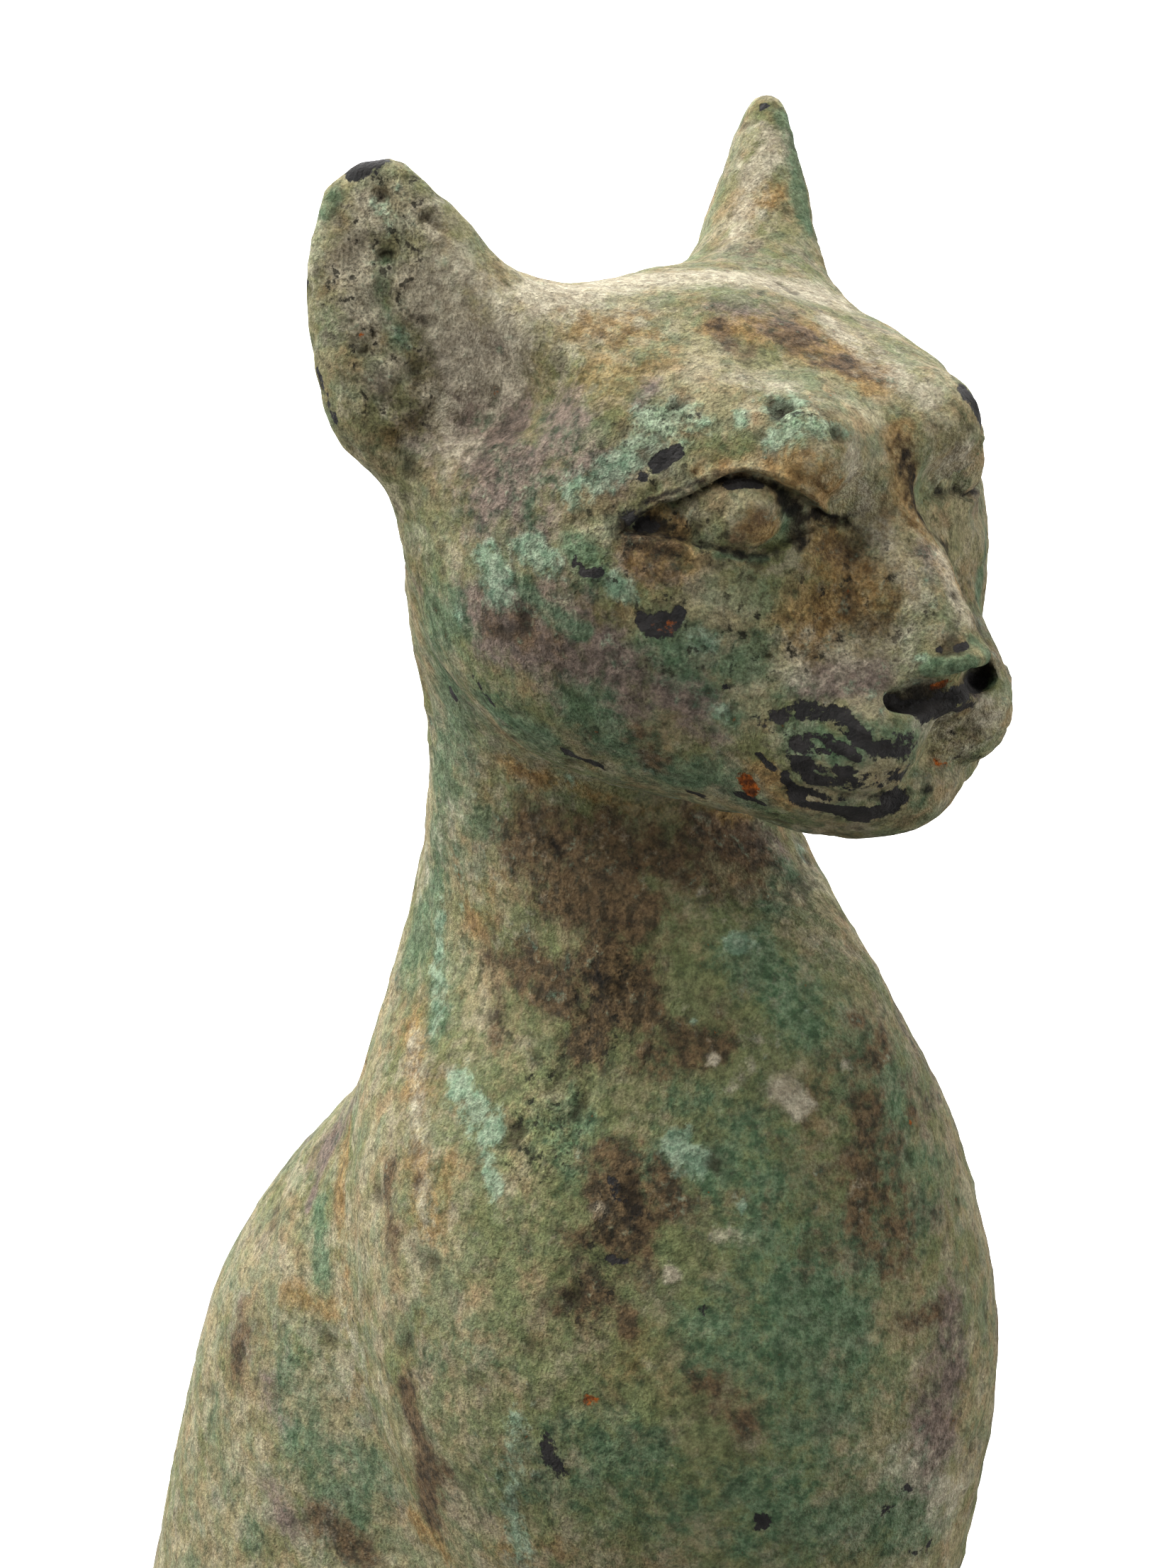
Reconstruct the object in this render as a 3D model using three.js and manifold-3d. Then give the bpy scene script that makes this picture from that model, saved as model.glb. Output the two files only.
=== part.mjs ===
// A seated cat of cast bronze, after the Egyptian votive figures: upright on its forelegs, head
// straight, ears pricked, the tail curled along its right side. Cat and base are one casting.
// Millimetres, +Z up. The cat looks along -Y, its right side is towards -X, and the origin lies
// under the middle of the base.
import * as THREE from 'three';
import { mergeVertices } from 'three/addons/utils/BufferGeometryUtils.js';
import Module from 'manifold-3d';

// Driving dimensions
const FIGURE_HEIGHT = 284; // from the top of the base to the tips of the ears
const BASE_THICKNESS = 10;
const BASE_MARGIN = 4; // from the figure's outermost points to the edge of the base
const BASE_CORNER_RADIUS = 6;
const BASE_EDGE_BEVEL = 1;
const BASE_CORNER_SEGMENTS = 5;
const ROOT_DEPTH = 3; // how deep paws, rump and tail run into the base
const FIGURE_FACES = 9500; // triangles that the finished figure keeps

// The figure's own proportions are thousandths of its height. Places are [side, forward, up],
// with up counted from the top of the base, and side the same on the left and on the right.
const share = FIGURE_HEIGHT / 1000;

// Stacks of level ellipses: at each height the middle's place forward and the half axes.
const CHEST = {
  heights: [197, 310, 437, 532, 616, 687, 757, 831],
  forward: [140, 135, 124, 121, 109, 100, 78, 81],
  halfWidth: [69, 93, 96, 119, 108, 68, 66, 71],
  halfDepth: [35, 73, 117, 129, 125, 110, 66, 66],
};
const TRUNK = {
  heights: [-21, 106, 229, 335, 437, 528, 616, 687],
  forward: [-121, -85, -56, -21, -5, 8, 52, 96],
  halfWidth: [132, 130, 121, 109, 102, 93, 67, 39],
  halfDepth: [170, 173, 157, 147, 135, 109, 77, 37],
};

const UPPER_LEG = { from: [45, 135, 404], fromRadius: 57, to: [42, 152, 57], toRadius: 34 };
const PASTERN = { from: [42, 152, 106], fromRadius: 32, to: [42, 160, 35], toRadius: 33 };
const FOREPAW = { middle: [41, 202, 15], radii: [34, 73, 31] };
// The toes further out lie back by fan times their distance from the paw's middle, squared.
const TOES = { count: 4, spread: 15.2, forward: 253, up: 10, radii: [10.7, 28.7, 17], fan: 0.0144 };
const HAUNCH = { middle: [84, -67, 141], radii: [63, 161, 126], pitch: -14 };
const HIND_FOOT = { from: [105, -40, 21], fromRadius: 32, to: [107, 125, 14], toRadius: 27 };
const TAIL = { start: [0, -263, 50], bend: [-134, -296, 8], end: [-148, 182, 14] };
const TAIL_ROOT_RADIUS = 34;
const TAIL_TIP_RADIUS = 19;
const TAIL_STEPS = 14;

// The head's own origin lies between the eyes, inside the skull. Its pitch is downwards.
const HEAD = { forward: 151, up: 854, pitch: -1.3 };
// Behind the origin the head runs into the neck ever more softly, as far as the nape.
const NAPE = { from: -28, length: 85 };
const SKULL = { middle: [0, -28, 9.5], radii: [95, 104, 90] };
const CHEEK = { from: [46, -13.5, -7], fromRadius: 63.5, to: [20.5, 47, -54.5], toRadius: 32.5 };
const BRIDGE = { from: [0, 40, 41], fromRadius: 29, to: [0, 103, -23.5], toRadius: 14 };
const WHISKER_PAD = { middle: [25.5, 72, -46.5], radii: [24.5, 31, 26.5] };
const CHIN = { middle: [0, 64, -74.5], radii: [25, 32, 18] };
const BROW = { from: [34.5, 64, 53], fromRadius: 16, to: [58.5, 10.5, 49], toRadius: 13.5 };
const NOSTRIL = { from: [0, 116, -27], fromRadius: 6, to: [25, 96, -34], toRadius: 4.5 };
const CANTHUS = { middle: [23, 80, 30], reach: 13, depth: 12 };
const EYE = {
  middle: [59, 59, 34], out: [0.62, 0.78, 0.05], inward: [-0.8, 0.6, -0.02],
  halfLength: 39, halfHeight: 16, cornerPower: 1.6, rimWidth: 0.32, rimDepth: 5, bulge: 2.5,
};
const MOUTH = {
  path: [[0, 97, -51], [0, 92, -59], [19, 95, -68], [42, 85, -66], [50, 74, -65]],
  width: 3.4,
  depth: 4,
};
const EAR = {
  root: [67.5, -51, 36], towardsTip: [0.323, -0.29, 1], front: [0.513, 0.837, -0.13],
  heights: [-35, 0, 35, 70, 95, 116, 123], // along the ear, from its root
  across: [-2.5, 3, -3, -8.5, -7.5, -5, -5],
  halfWidth: [32.5, 37, 48, 37.5, 28.5, 16.5, 13.5],
  halfDepth: [32, 26.5, 33, 26.5, 18.5, 11, 9],
  hollowFrom: 18, hollowWidth: 0.74, hollowForward: 1.35, hollowAside: 5,
};

// How far from the middle plane its right and left halves begin to run into each other.
const MIDDLE_SOFTNESS = 4;

// How widely each form runs into those before it.
const BLEND = {
  columnEnds: 28, trunk: 18, upperLeg: 25, pastern: 18, toes: 4, paw: 14, haunch: 16, hindFoot: 18,
  tail: 8, cheek: 42, bridge: 18, whiskerPad: 25, chin: 18, brow: 25, nostril: 4, earEnds: 10,
  ear: 32, hollowStart: 21, hollowEdge: 12, throat: 14, nape: 42,
};

// Small vector and blending helpers
const clamp = (value, low, high) => Math.min(Math.max(value, low), high);
const dot = (a, b) => a[0] * b[0] + a[1] * b[1] + a[2] * b[2];
const minus = (a, b) => [a[0] - b[0], a[1] - b[1], a[2] - b[2]];
const cross = (a, b) => [
  a[1] * b[2] - a[2] * b[1],
  a[2] * b[0] - a[0] * b[2],
  a[0] * b[1] - a[1] * b[0],
];
const gap = (a, b) => Math.hypot(...minus(a, b));
const unit = (a) => a.map((value) => value / Math.hypot(...a));
const radians = (degrees) => (degrees * Math.PI) / 180;
const TINY = 1e-9; // keeps a division from zero

// The smaller of two distances, blended over a width, so that two forms run into each other.
function join(a, b, width) {
  const mix = clamp(0.5 + (0.5 * (b - a)) / width, 0, 1);
  return b + (a - b) * mix - width * mix * (1 - mix);
}
const keepBoth = (a, b, width) => -join(-a, -b, width);

// A smooth curve through values at rising stations, level beyond its ends.
function curve(stations, values) {
  const last = stations.length - 1;
  const slopes = values.map((value, i) => {
    const before = Math.max(i - 1, 0);
    const after = Math.min(i + 1, last);
    return (values[after] - values[before]) / (stations[after] - stations[before]);
  });
  return (at) => {
    let i = 0;
    while (i < last - 1 && at > stations[i + 1]) i += 1;
    const step = stations[i + 1] - stations[i];
    const t = clamp((at - stations[i]) / step, 0, 1);
    const rise = t * t * (3 - 2 * t);
    const leave = t * (1 - t) * (1 - t) * step * slopes[i];
    const arrive = t * t * (t - 1) * step * slopes[i + 1];
    return values[i] * (1 - rise) + values[i + 1] * rise + leave + arrive;
  };
}

// Distances from a place to simple forms, less than zero inside
function ellipsoid(place, middle, radii) {
  const x = (place[0] - middle[0]) / radii[0];
  const y = (place[1] - middle[1]) / radii[1];
  const z = (place[2] - middle[2]) / radii[2];
  const reach = Math.hypot(x, y, z) + TINY;
  const slope = Math.hypot(x / radii[0], y / radii[1], z / radii[2]) + TINY;
  return (reach * (reach - 1)) / slope;
}

// Two balls of different size and the cone that touches both.
function roundCone(place, { from, to, fromRadius, toRadius }) {
  const axis = minus(to, from);
  const length = Math.hypot(...axis);
  const narrowing = (fromRadius - toRadius) / length;
  const away = minus(place, from);
  const along = dot(away, axis) / length;
  const aside = Math.sqrt(Math.max(dot(away, away) - along * along, 0));
  const side = Math.sqrt(1 - narrowing * narrowing);
  const foot = along * side - aside * narrowing;
  if (foot < 0) return Math.hypot(along, aside) - fromRadius;
  if (foot > length * side) return Math.hypot(along - length, aside) - toRadius;
  return aside * side + along * narrowing - fromRadius;
}

function ellipseStack(sizes, rounding) {
  const forward = curve(sizes.heights, sizes.forward ?? sizes.across);
  const halfWidth = curve(sizes.heights, sizes.halfWidth);
  const halfDepth = curve(sizes.heights, sizes.halfDepth);
  const bottom = sizes.heights[0];
  const top = sizes.heights.at(-1);
  return (side, ahead, up) => {
    const width = halfWidth(up);
    const depth = halfDepth(up);
    const reach = Math.hypot(side / width, (ahead - forward(up)) / depth);
    const wall = (reach - 1) * Math.min(width, depth);
    return keepBoth(keepBoth(wall, up - top, rounding), bottom - up, rounding);
  };
}

// The body below the head
const chest = ellipseStack(CHEST, BLEND.columnEnds);
const trunk = ellipseStack(TRUNK, BLEND.columnEnds);
const tailCurve = new THREE.QuadraticBezierCurve3(
  new THREE.Vector3(...TAIL.start),
  new THREE.Vector3(...TAIL.bend),
  new THREE.Vector3(...TAIL.end),
);
const tailPoints = tailCurve.getSpacedPoints(TAIL_STEPS).map((point) => point.toArray());
const tailRadius = (step) => {
  return THREE.MathUtils.lerp(TAIL_ROOT_RADIUS, TAIL_TIP_RADIUS, step / TAIL_STEPS);
};
const tailJoints = tailPoints.slice(1).map((to, step) => {
  return { from: tailPoints[step], to, fromRadius: tailRadius(step), toRadius: tailRadius(step + 1) };
});

function tail(place) {
  return tailJoints.reduce((nearest, joint) => Math.min(nearest, roundCone(place, joint)), Infinity);
}

function haunch(place) {
  const turn = radians(HAUNCH.pitch);
  const [side, ahead, up] = minus(place, HAUNCH.middle);
  const along = ahead * Math.cos(turn) - up * Math.sin(turn);
  const over = ahead * Math.sin(turn) + up * Math.cos(turn);
  return ellipsoid([side, along, over], [0, 0, 0], HAUNCH.radii);
}

function forepaw(place) {
  let paw = ellipsoid(place, FOREPAW.middle, FOREPAW.radii);
  for (let toe = 0; toe < TOES.count; toe += 1) {
    const aside = (toe - (TOES.count - 1) / 2) * TOES.spread;
    const tip = TOES.forward - TOES.fan * aside * aside;
    const middle = [FOREPAW.middle[0] + aside, tip - TOES.radii[1], TOES.up];
    paw = join(paw, ellipsoid(place, middle, TOES.radii), BLEND.toes);
  }
  return paw;
}

function body(place, signedPlace) {
  const [side, ahead, up] = place;
  let form = join(chest(side, ahead, up), trunk(side, ahead, up), BLEND.trunk);
  form = join(form, roundCone(place, UPPER_LEG), BLEND.upperLeg);
  form = join(form, roundCone(place, PASTERN), BLEND.pastern);
  form = join(form, forepaw(place), BLEND.paw);
  form = join(form, haunch(place), BLEND.haunch);
  form = join(form, roundCone(place, HIND_FOOT), BLEND.hindFoot);
  return join(form, tail(signedPlace), BLEND.tail);
}

// The head
const earTip = unit(EAR.towardsTip);
const earFront = unit(minus(EAR.front, earTip.map((value) => value * dot(EAR.front, earTip))));
const earAcross = cross(earTip, earFront);
const earSizes = { ...EAR, halfWidth: EAR.halfDepth, halfDepth: EAR.halfWidth };
const earShell = ellipseStack(earSizes, BLEND.earEnds);
const earAcrossAt = curve(EAR.heights, EAR.across);
const earWidthAt = curve(EAR.heights, EAR.halfWidth);
const earDepthAt = curve(EAR.heights, EAR.halfDepth);

// A place by the ear's own directions
function inEar(place) {
  const away = minus(place, EAR.root);
  return [dot(away, earAcross), dot(away, earFront), dot(away, earTip)];
}

function earHollow([across, front, up]) {
  const width = earWidthAt(up) * EAR.hollowWidth;
  const depth = earDepthAt(up);
  const aside = (across - earAcrossAt(up) + EAR.hollowAside) / width;
  const reach = Math.hypot(aside, (front - depth * EAR.hollowForward) / depth);
  return keepBoth((reach - 1) * Math.min(width, depth), EAR.hollowFrom - up, BLEND.hollowStart);
}

const eyeOut = unit(EYE.out);
const eyeInward = unit(minus(EYE.inward, eyeOut.map((value) => value * dot(EYE.inward, eyeOut))));
const eyeUp = cross(eyeOut, eyeInward);

// How much deeper the face lies at a place: round the almond of the eye, and less on the eyeball.
function eyeRelief(place) {
  const away = minus(place, EYE.middle);
  const along = Math.abs(dot(away, eyeInward) / EYE.halfLength);
  const over = dot(away, eyeUp) / EYE.halfHeight;
  const almond = Math.sqrt(along ** EYE.cornerPower + over * over);
  const rim = Math.exp(-(((almond - 1) / EYE.rimWidth) ** 2));
  const ball = 1 - clamp(almond, 0, 1) ** 2;
  return EYE.rimDepth * rim - EYE.bulge * ball;
}

const mouthRuns = MOUTH.path.slice(1).map((to, i) => {
  return { from: MOUTH.path[i], to, fromRadius: 0, toRadius: 0 };
});

function mouthRelief(place) {
  const nearest = Math.min(...mouthRuns.map((run) => roundCone(place, run)));
  return MOUTH.depth * Math.exp(-((nearest / MOUTH.width) ** 2));
}

function canthusRelief(place) {
  const away = Math.hypot(...minus(place, CANTHUS.middle));
  return CANTHUS.depth * Math.exp(-((away / CANTHUS.reach) ** 2));
}

const FACE_REACH = 20; // how far from the bare head's surface the face's carving is felt

function head(place) {
  let form = ellipsoid(place, SKULL.middle, SKULL.radii);
  form = join(form, roundCone(place, CHEEK), BLEND.cheek);
  form = join(form, roundCone(place, BRIDGE), BLEND.bridge);
  form = join(form, ellipsoid(place, WHISKER_PAD.middle, WHISKER_PAD.radii), BLEND.whiskerPad);
  form = join(form, ellipsoid(place, CHIN.middle, CHIN.radii), BLEND.chin);
  form = join(form, roundCone(place, BROW), BLEND.brow);
  const nearFace = place[1] > 0 && form < FACE_REACH;
  if (nearFace) form += eyeRelief(place) + mouthRelief(place) + canthusRelief(place);
  form = keepBoth(form, -roundCone(place, NOSTRIL), BLEND.nostril);
  const [across, front, up] = inEar(place);
  form = join(form, earShell(front, across, up), BLEND.ear);
  return keepBoth(form, -earHollow([across, front, up]), BLEND.hollowEdge);
}

// The whole figure, in thousandths of its height
const headPitch = radians(HEAD.pitch);

function figure(x, y, z) {
  const place = [Math.hypot(x, MIDDLE_SOFTNESS), -y, z];
  const form = body(place, [x, -y, z]);
  if (z < CHEST.heights[5]) return form;
  const [ahead, over] = [place[1] - HEAD.forward, z - HEAD.up];
  const forward = ahead * Math.cos(headPitch) - over * Math.sin(headPitch);
  const up = ahead * Math.sin(headPitch) + over * Math.cos(headPitch);
  const nape = clamp((NAPE.from - ahead) / NAPE.length, 0, 1);
  const width = BLEND.throat + (BLEND.nape - BLEND.throat) * nape;
  return join(form, head([place[0], forward, up]), width);
}

// The lattice that the surface is found on: small cells at the head, larger ones lower down,
// about a middle line that leans forward with the neck. A figure of another shape needs no other
// lattice as long as it stays within LATTICE_COUNT cells to each side of that line.
const LATTICE = {
  heights: [0, 340, 470, 655, 760, 1000],
  cell: [8.8, 8.2, 7.4, 6.2, 5, 5],
  lean: [0, 12, 42, 100, 140, 140],
  top: 1040,
};
const LATTICE_COUNT = 37;
const FAR_AWAY = 50; // the distance that lattice points on the outer faces are given
const SKIP_SHARE = 2.2; // a distance of so many cells lets one cell be skipped
const MEND_DEPTH = 0.02; // how deep a corner lies that was filled to keep the surface whole
const cellAt = curve(LATTICE.heights, LATTICE.cell);
const middleAt = curve(LATTICE.heights, LATTICE.lean);

function latticeRows() {
  const rows = [-ROOT_DEPTH / share - 1];
  while (rows.at(-1) < LATTICE.top) rows.push(rows.at(-1) + cellAt(rows.at(-1)));
  return rows;
}

const CORNERS = [0, 1, 2, 3, 4, 5, 6, 7].map((n) => [n & 1, (n >> 1) & 1, n >> 2]);
const ALL_CORNERS = 2 ** CORNERS.length - 1;
const CELL_EDGES = [];
for (let a = 0; a < CORNERS.length; a += 1) {
  for (const bit of [1, 2, 4]) if (!(a & bit)) CELL_EDGES.push([a, a | bit]);
}

// True where the corners of one kind in a cell hang together along its edges.
const HANGS_TOGETHER = Array.from({ length: ALL_CORNERS + 1 }, (_, mask) => {
  if (mask === 0) return true;
  let reached = mask & -mask;
  for (let pass = 0; pass < CORNERS.length; pass += 1) {
    for (const [a, b] of CELL_EDGES) {
      const both = (mask >> a) & (mask >> b) & 1;
      if (both && ((reached >> a) | (reached >> b)) & 1) reached |= (1 << a) | (1 << b);
    }
  }
  return reached === mask;
});

// The surface of a field as quadrilaterals, one corner in each cell that the surface crosses.
function surface(field) {
  const rows = latticeRows();
  const wide = 2 * LATTICE_COUNT + 1;
  const high = rows.length;
  const index = (i, j, k) => (k * wide + j) * wide + i;
  const cornerSteps = CORNERS.map(([i, j, k]) => index(i, j, k));
  const place = (i, j, k) => {
    const cell = cellAt(rows[k]);
    return [(i - LATTICE_COUNT) * cell, (j - LATTICE_COUNT) * cell - middleAt(rows[k]), rows[k]];
  };
  const values = new Float64Array(wide * wide * high).fill(FAR_AWAY);
  // Far from the surface the next few samples along a row have the same sign, and are skipped.
  for (let k = 1; k < high - 1; k += 1) {
    for (let j = 1; j < wide - 1; j += 1) {
      for (let i = 1; i < wide - 1; i += 1) {
        const value = field(...place(i, j, k));
        const sure = Math.floor(Math.abs(value) / (SKIP_SHARE * cellAt(rows[k])));
        const next = Math.min(i + sure, wide - 2);
        values.fill(value, index(i, j, k), index(next, j, k) + 1);
        i = next;
      }
    }
  }
  const maskAt = (at) => {
    return cornerSteps.reduce((mask, step, n) => mask | ((values[at + step] < 0) << n), 0);
  };
  const eachCell = (visit) => {
    for (let k = 0; k < high - 1; k += 1) {
      for (let j = 0; j < wide - 1; j += 1) {
        for (let i = 0; i < wide - 1; i += 1) visit(i, j, k, index(i, j, k));
      }
    }
  };
  // A cell where the surface would touch itself is filled at its shallowest outer corner.
  let mended = true;
  while (mended) {
    mended = false;
    eachCell((i, j, k, at) => {
      const mask = maskAt(at);
      if (HANGS_TOGETHER[mask] && HANGS_TOGETHER[ALL_CORNERS - mask]) return;
      const outer = cornerSteps.map((step) => at + step).filter((corner) => values[corner] >= 0);
      const nearer = (best, corner) => (values[corner] < values[best] ? corner : best);
      values[outer.reduce(nearer)] = -MEND_DEPTH;
      mended = true;
    });
  }
  const vertexOf = new Int32Array(values.length).fill(-1);
  const vertices = [];
  eachCell((i, j, k, at) => {
    const mask = maskAt(at);
    if (mask === 0 || mask === ALL_CORNERS) return;
    const sum = [0, 0, 0];
    let crossings = 0;
    for (const [a, b] of CELL_EDGES) {
      const inside = values[at + cornerSteps[a]];
      const outside = values[at + cornerSteps[b]];
      if (inside < 0 === outside < 0) continue;
      const t = inside / (inside - outside);
      const from = place(i + CORNERS[a][0], j + CORNERS[a][1], k + CORNERS[a][2]);
      const to = place(i + CORNERS[b][0], j + CORNERS[b][1], k + CORNERS[b][2]);
      for (const axis of [0, 1, 2]) sum[axis] += from[axis] + (to[axis] - from[axis]) * t;
      crossings += 1;
    }
    vertexOf[at] = vertices.length;
    vertices.push(sum.map((value) => value / crossings));
  });
  const faces = [];
  const steps = [index(1, 0, 0), index(0, 1, 0), index(0, 0, 1)];
  for (let at = 0; at < values.length; at += 1) {
    for (const axis of [0, 1, 2]) {
      const ahead = at + steps[axis];
      if (ahead >= values.length || values[at] < 0 === values[ahead] < 0) continue;
      const [u, v] = [steps[(axis + 1) % 3], steps[(axis + 2) % 3]];
      const ring = [at - u - v, at - v, at, at - u].map((cell) => vertexOf[cell]);
      if (values[at] >= 0) ring.reverse();
      const [p, q, r, s] = ring.map((corner) => vertices[corner]);
      const [a, b, c, d] = gap(p, r) < gap(q, s) ? ring : [...ring.slice(1), ring[0]];
      faces.push([a, b, c], [a, c, d]);
    }
  }
  return { vertices, faces };
}
// Each vertex is moved along the steepest way to where the field is zero.
const SLOPE_STEP = 0.4; // over which the field's slope is measured
const LONGEST_MOVE = 2;
const SETTLE_PASSES = 2;

function settle(vertices, field) {
  for (let pass = 0; pass < SETTLE_PASSES; pass += 1) {
    for (const p of vertices) {
      const value = field(...p);
      const slope = [0, 1, 2].map((axis) => {
        const ahead = [...p];
        ahead[axis] += SLOPE_STEP;
        return (field(...ahead) - value) / SLOPE_STEP;
      });
      const step = clamp(value / (dot(slope, slope) + TINY), -LONGEST_MOVE, LONGEST_MOVE);
      for (const axis of [0, 1, 2]) p[axis] -= step * slope[axis];
    }
  }
}

// The mesh thinned to a number of triangles: the edge whose loss bends the surface least goes
// first, by the sum of squared distances to the planes of the triangles that met there.
const LENGTH_COST = 0.002; // per edge length squared, so that flat parts keep even triangles
const LEAST_SOLVABLE = 1e-5; // below this size of its determinant a best place isn't solved for
const MOST_TURN = 0.3; // the cosine of the most that a triangle may turn
const LEAST_AREA = 0.12; // twice a triangle's area, as a share of its longest side squared

function thin({ vertices, faces }, wanted) {
  const around = vertices.map(() => new Set());
  const planes = vertices.map(() => new Float64Array(10));
  const normalAt = (a, b, c) => cross(minus(b, a), minus(c, a));
  const normalOf = (face) => normalAt(...face.map((v) => vertices[v]));
  faces.forEach((face, f) => {
    const area = Math.hypot(...normalOf(face)) + TINY;
    const n = normalOf(face).map((value) => value / area);
    const q = [...n, -dot(n, vertices[face[0]])];
    for (const v of face) {
      around[v].add(f);
      let at = 0;
      for (let i = 0; i < 4; i += 1) {
        for (let j = i; j < 4; j += 1) {
          planes[v][at] += q[i] * q[j] * area;
          at += 1;
        }
      }
    }
  });
  const bend = (q, [x, y, z]) => q[0] * x * x + q[4] * y * y + q[7] * z * z + q[9]
    + 2 * (q[1] * x * y + q[2] * x * z + q[3] * x + q[5] * y * z + q[6] * y + q[8] * z);
  const bestPlace = (q, a, b) => {
    const rows = [[q[0], q[1], q[2]], [q[1], q[4], q[5]], [q[2], q[5], q[7]]];
    const size = dot(rows[0], cross(rows[1], rows[2]));
    const middle = [0, 1, 2].map((axis) => (vertices[a][axis] + vertices[b][axis]) / 2);
    const choices = [vertices[a], vertices[b], middle];
    if (Math.abs(size) > LEAST_SOLVABLE) {
      const right = [-q[3], -q[6], -q[8]];
      const solved = [
        dot(right, cross(rows[1], rows[2])) / size,
        dot(rows[0], cross(right, rows[2])) / size,
        dot(rows[0], cross(rows[1], right)) / size,
      ];
      if (gap(solved, middle) < gap(vertices[a], vertices[b])) choices.push(solved);
    }
    return choices.reduce((best, choice) => (bend(q, choice) < bend(q, best) ? choice : best));
  };
  const heap = [];
  const swap = (i, j) => ([heap[i], heap[j]] = [heap[j], heap[i]]);
  const push = (item) => {
    let i = heap.push(item) - 1;
    while (i > 0 && heap[i].cost < heap[(i - 1) >> 1].cost) {
      swap(i, (i - 1) >> 1);
      i = (i - 1) >> 1;
    }
  };
  const pop = () => {
    const top = heap[0];
    const last = heap.pop();
    if (heap.length === 0) return top;
    heap[0] = last;
    let i = 0;
    for (;;) {
      let least = i;
      for (const child of [2 * i + 1, 2 * i + 2]) {
        if (child < heap.length && heap[child].cost < heap[least].cost) least = child;
      }
      if (least === i) return top;
      swap(i, least);
      i = least;
    }
  };
  const age = new Uint32Array(vertices.length);
  const offer = (a, b) => {
    const q = planes[a].map((value, i) => value + planes[b][i]);
    const at = bestPlace(q, a, b);
    const cost = bend(q, at) + LENGTH_COST * gap(vertices[a], vertices[b]) ** 2;
    push({ cost, a, b, at, q, ages: age[a] + age[b] });
  };
  const neighbours = (v) => {
    const found = new Set();
    for (const f of around[v]) for (const w of faces[f]) if (w !== v) found.add(w);
    return found;
  };
  const turnsOver = (v, other, at) => {
    for (const f of around[v]) {
      const face = faces[f];
      if (face.includes(other)) continue;
      const before = normalOf(face);
      const [a, b, c] = face.map((w) => (w === v ? at : vertices[w]));
      const after = normalAt(a, b, c);
      const size = Math.hypot(...after);
      const longest = Math.max(gap(a, b), gap(b, c), gap(c, a));
      const turned = dot(before, after) / (Math.hypot(...before) * size + TINY);
      if (turned < MOST_TURN || size < LEAST_AREA * longest * longest) return true;
    }
    return false;
  };
  vertices.forEach((_, v) => neighbours(v).forEach((w) => w > v && offer(v, w)));
  let left = faces.length;
  while (left > wanted && heap.length > 0) {
    const { a, b, at, q, ages } = pop();
    if (ages !== age[a] + age[b] || around[a].size === 0 || around[b].size === 0) continue;
    const ring = neighbours(b);
    const shared = [...neighbours(a)].filter((v) => ring.has(v));
    if (shared.length !== 2 || turnsOver(a, b, at) || turnsOver(b, a, at)) continue;
    for (const f of [...around[b]]) {
      if (faces[f].includes(a)) {
        for (const v of faces[f]) around[v].delete(f);
        faces[f] = null;
        left -= 1;
      } else {
        faces[f] = faces[f].map((v) => (v === b ? a : v));
        around[a].add(f);
      }
    }
    around[b].clear();
    vertices[a] = at;
    planes[a] = q;
    age[a] += 1;
    age[b] += 1;
    const touched = neighbours(a);
    for (const v of touched) offer(a, v);
  }
  return { vertices, faces: faces.filter((face) => face !== null) };
}

const mesh = surface(figure);
settle(mesh.vertices, figure);
const thinned = thin(mesh, FIGURE_FACES);

function figureGeometry() {
  const geometry = new THREE.BufferGeometry();
  geometry.setAttribute('position', new THREE.Float32BufferAttribute(thinned.vertices.flat(), 3));
  geometry.setIndex(thinned.faces.flat());
  geometry.scale(share, share, share);
  const loose = geometry.toNonIndexed();
  loose.computeBoundingBox();
  return loose;
}

function baseGeometry(footprint) {
  const halfWidth = Math.max(-footprint.min.x, footprint.max.x) + BASE_MARGIN - BASE_EDGE_BEVEL;
  const halfLength = (footprint.max.y - footprint.min.y) / 2 + BASE_MARGIN - BASE_EDGE_BEVEL;
  const corner = BASE_CORNER_RADIUS - BASE_EDGE_BEVEL;
  const outline = new THREE.Shape();
  outline.absarc(halfWidth - corner, halfLength - corner, corner, 0, Math.PI / 2);
  outline.absarc(corner - halfWidth, halfLength - corner, corner, Math.PI / 2, Math.PI);
  outline.absarc(corner - halfWidth, corner - halfLength, corner, Math.PI, 1.5 * Math.PI);
  outline.absarc(halfWidth - corner, corner - halfLength, corner, 1.5 * Math.PI, 2 * Math.PI);
  const geometry = new THREE.ExtrudeGeometry(outline, {
    depth: BASE_THICKNESS - 2 * BASE_EDGE_BEVEL,
    bevelThickness: BASE_EDGE_BEVEL,
    bevelSize: BASE_EDGE_BEVEL,
    bevelSegments: 1,
    curveSegments: BASE_CORNER_SEGMENTS,
  });
  return geometry.translate(0, 0, BASE_EDGE_BEVEL);
}

// Joined into one body, as the casting is
const SAME_PLACE = 1e-4; // corners nearer than this are one
const wasm = await Module();
wasm.setup();

function solidOf(geometry) {
  const bare = geometry.clone();
  bare.deleteAttribute('normal');
  bare.deleteAttribute('uv');
  const merged = mergeVertices(bare, SAME_PLACE);
  const vertProperties = Float32Array.from(merged.attributes.position.array);
  const triVerts = Uint32Array.from(merged.index.array);
  return new wasm.Manifold(new wasm.Mesh({ numProp: 3, vertProperties, triVerts }));
}

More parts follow.
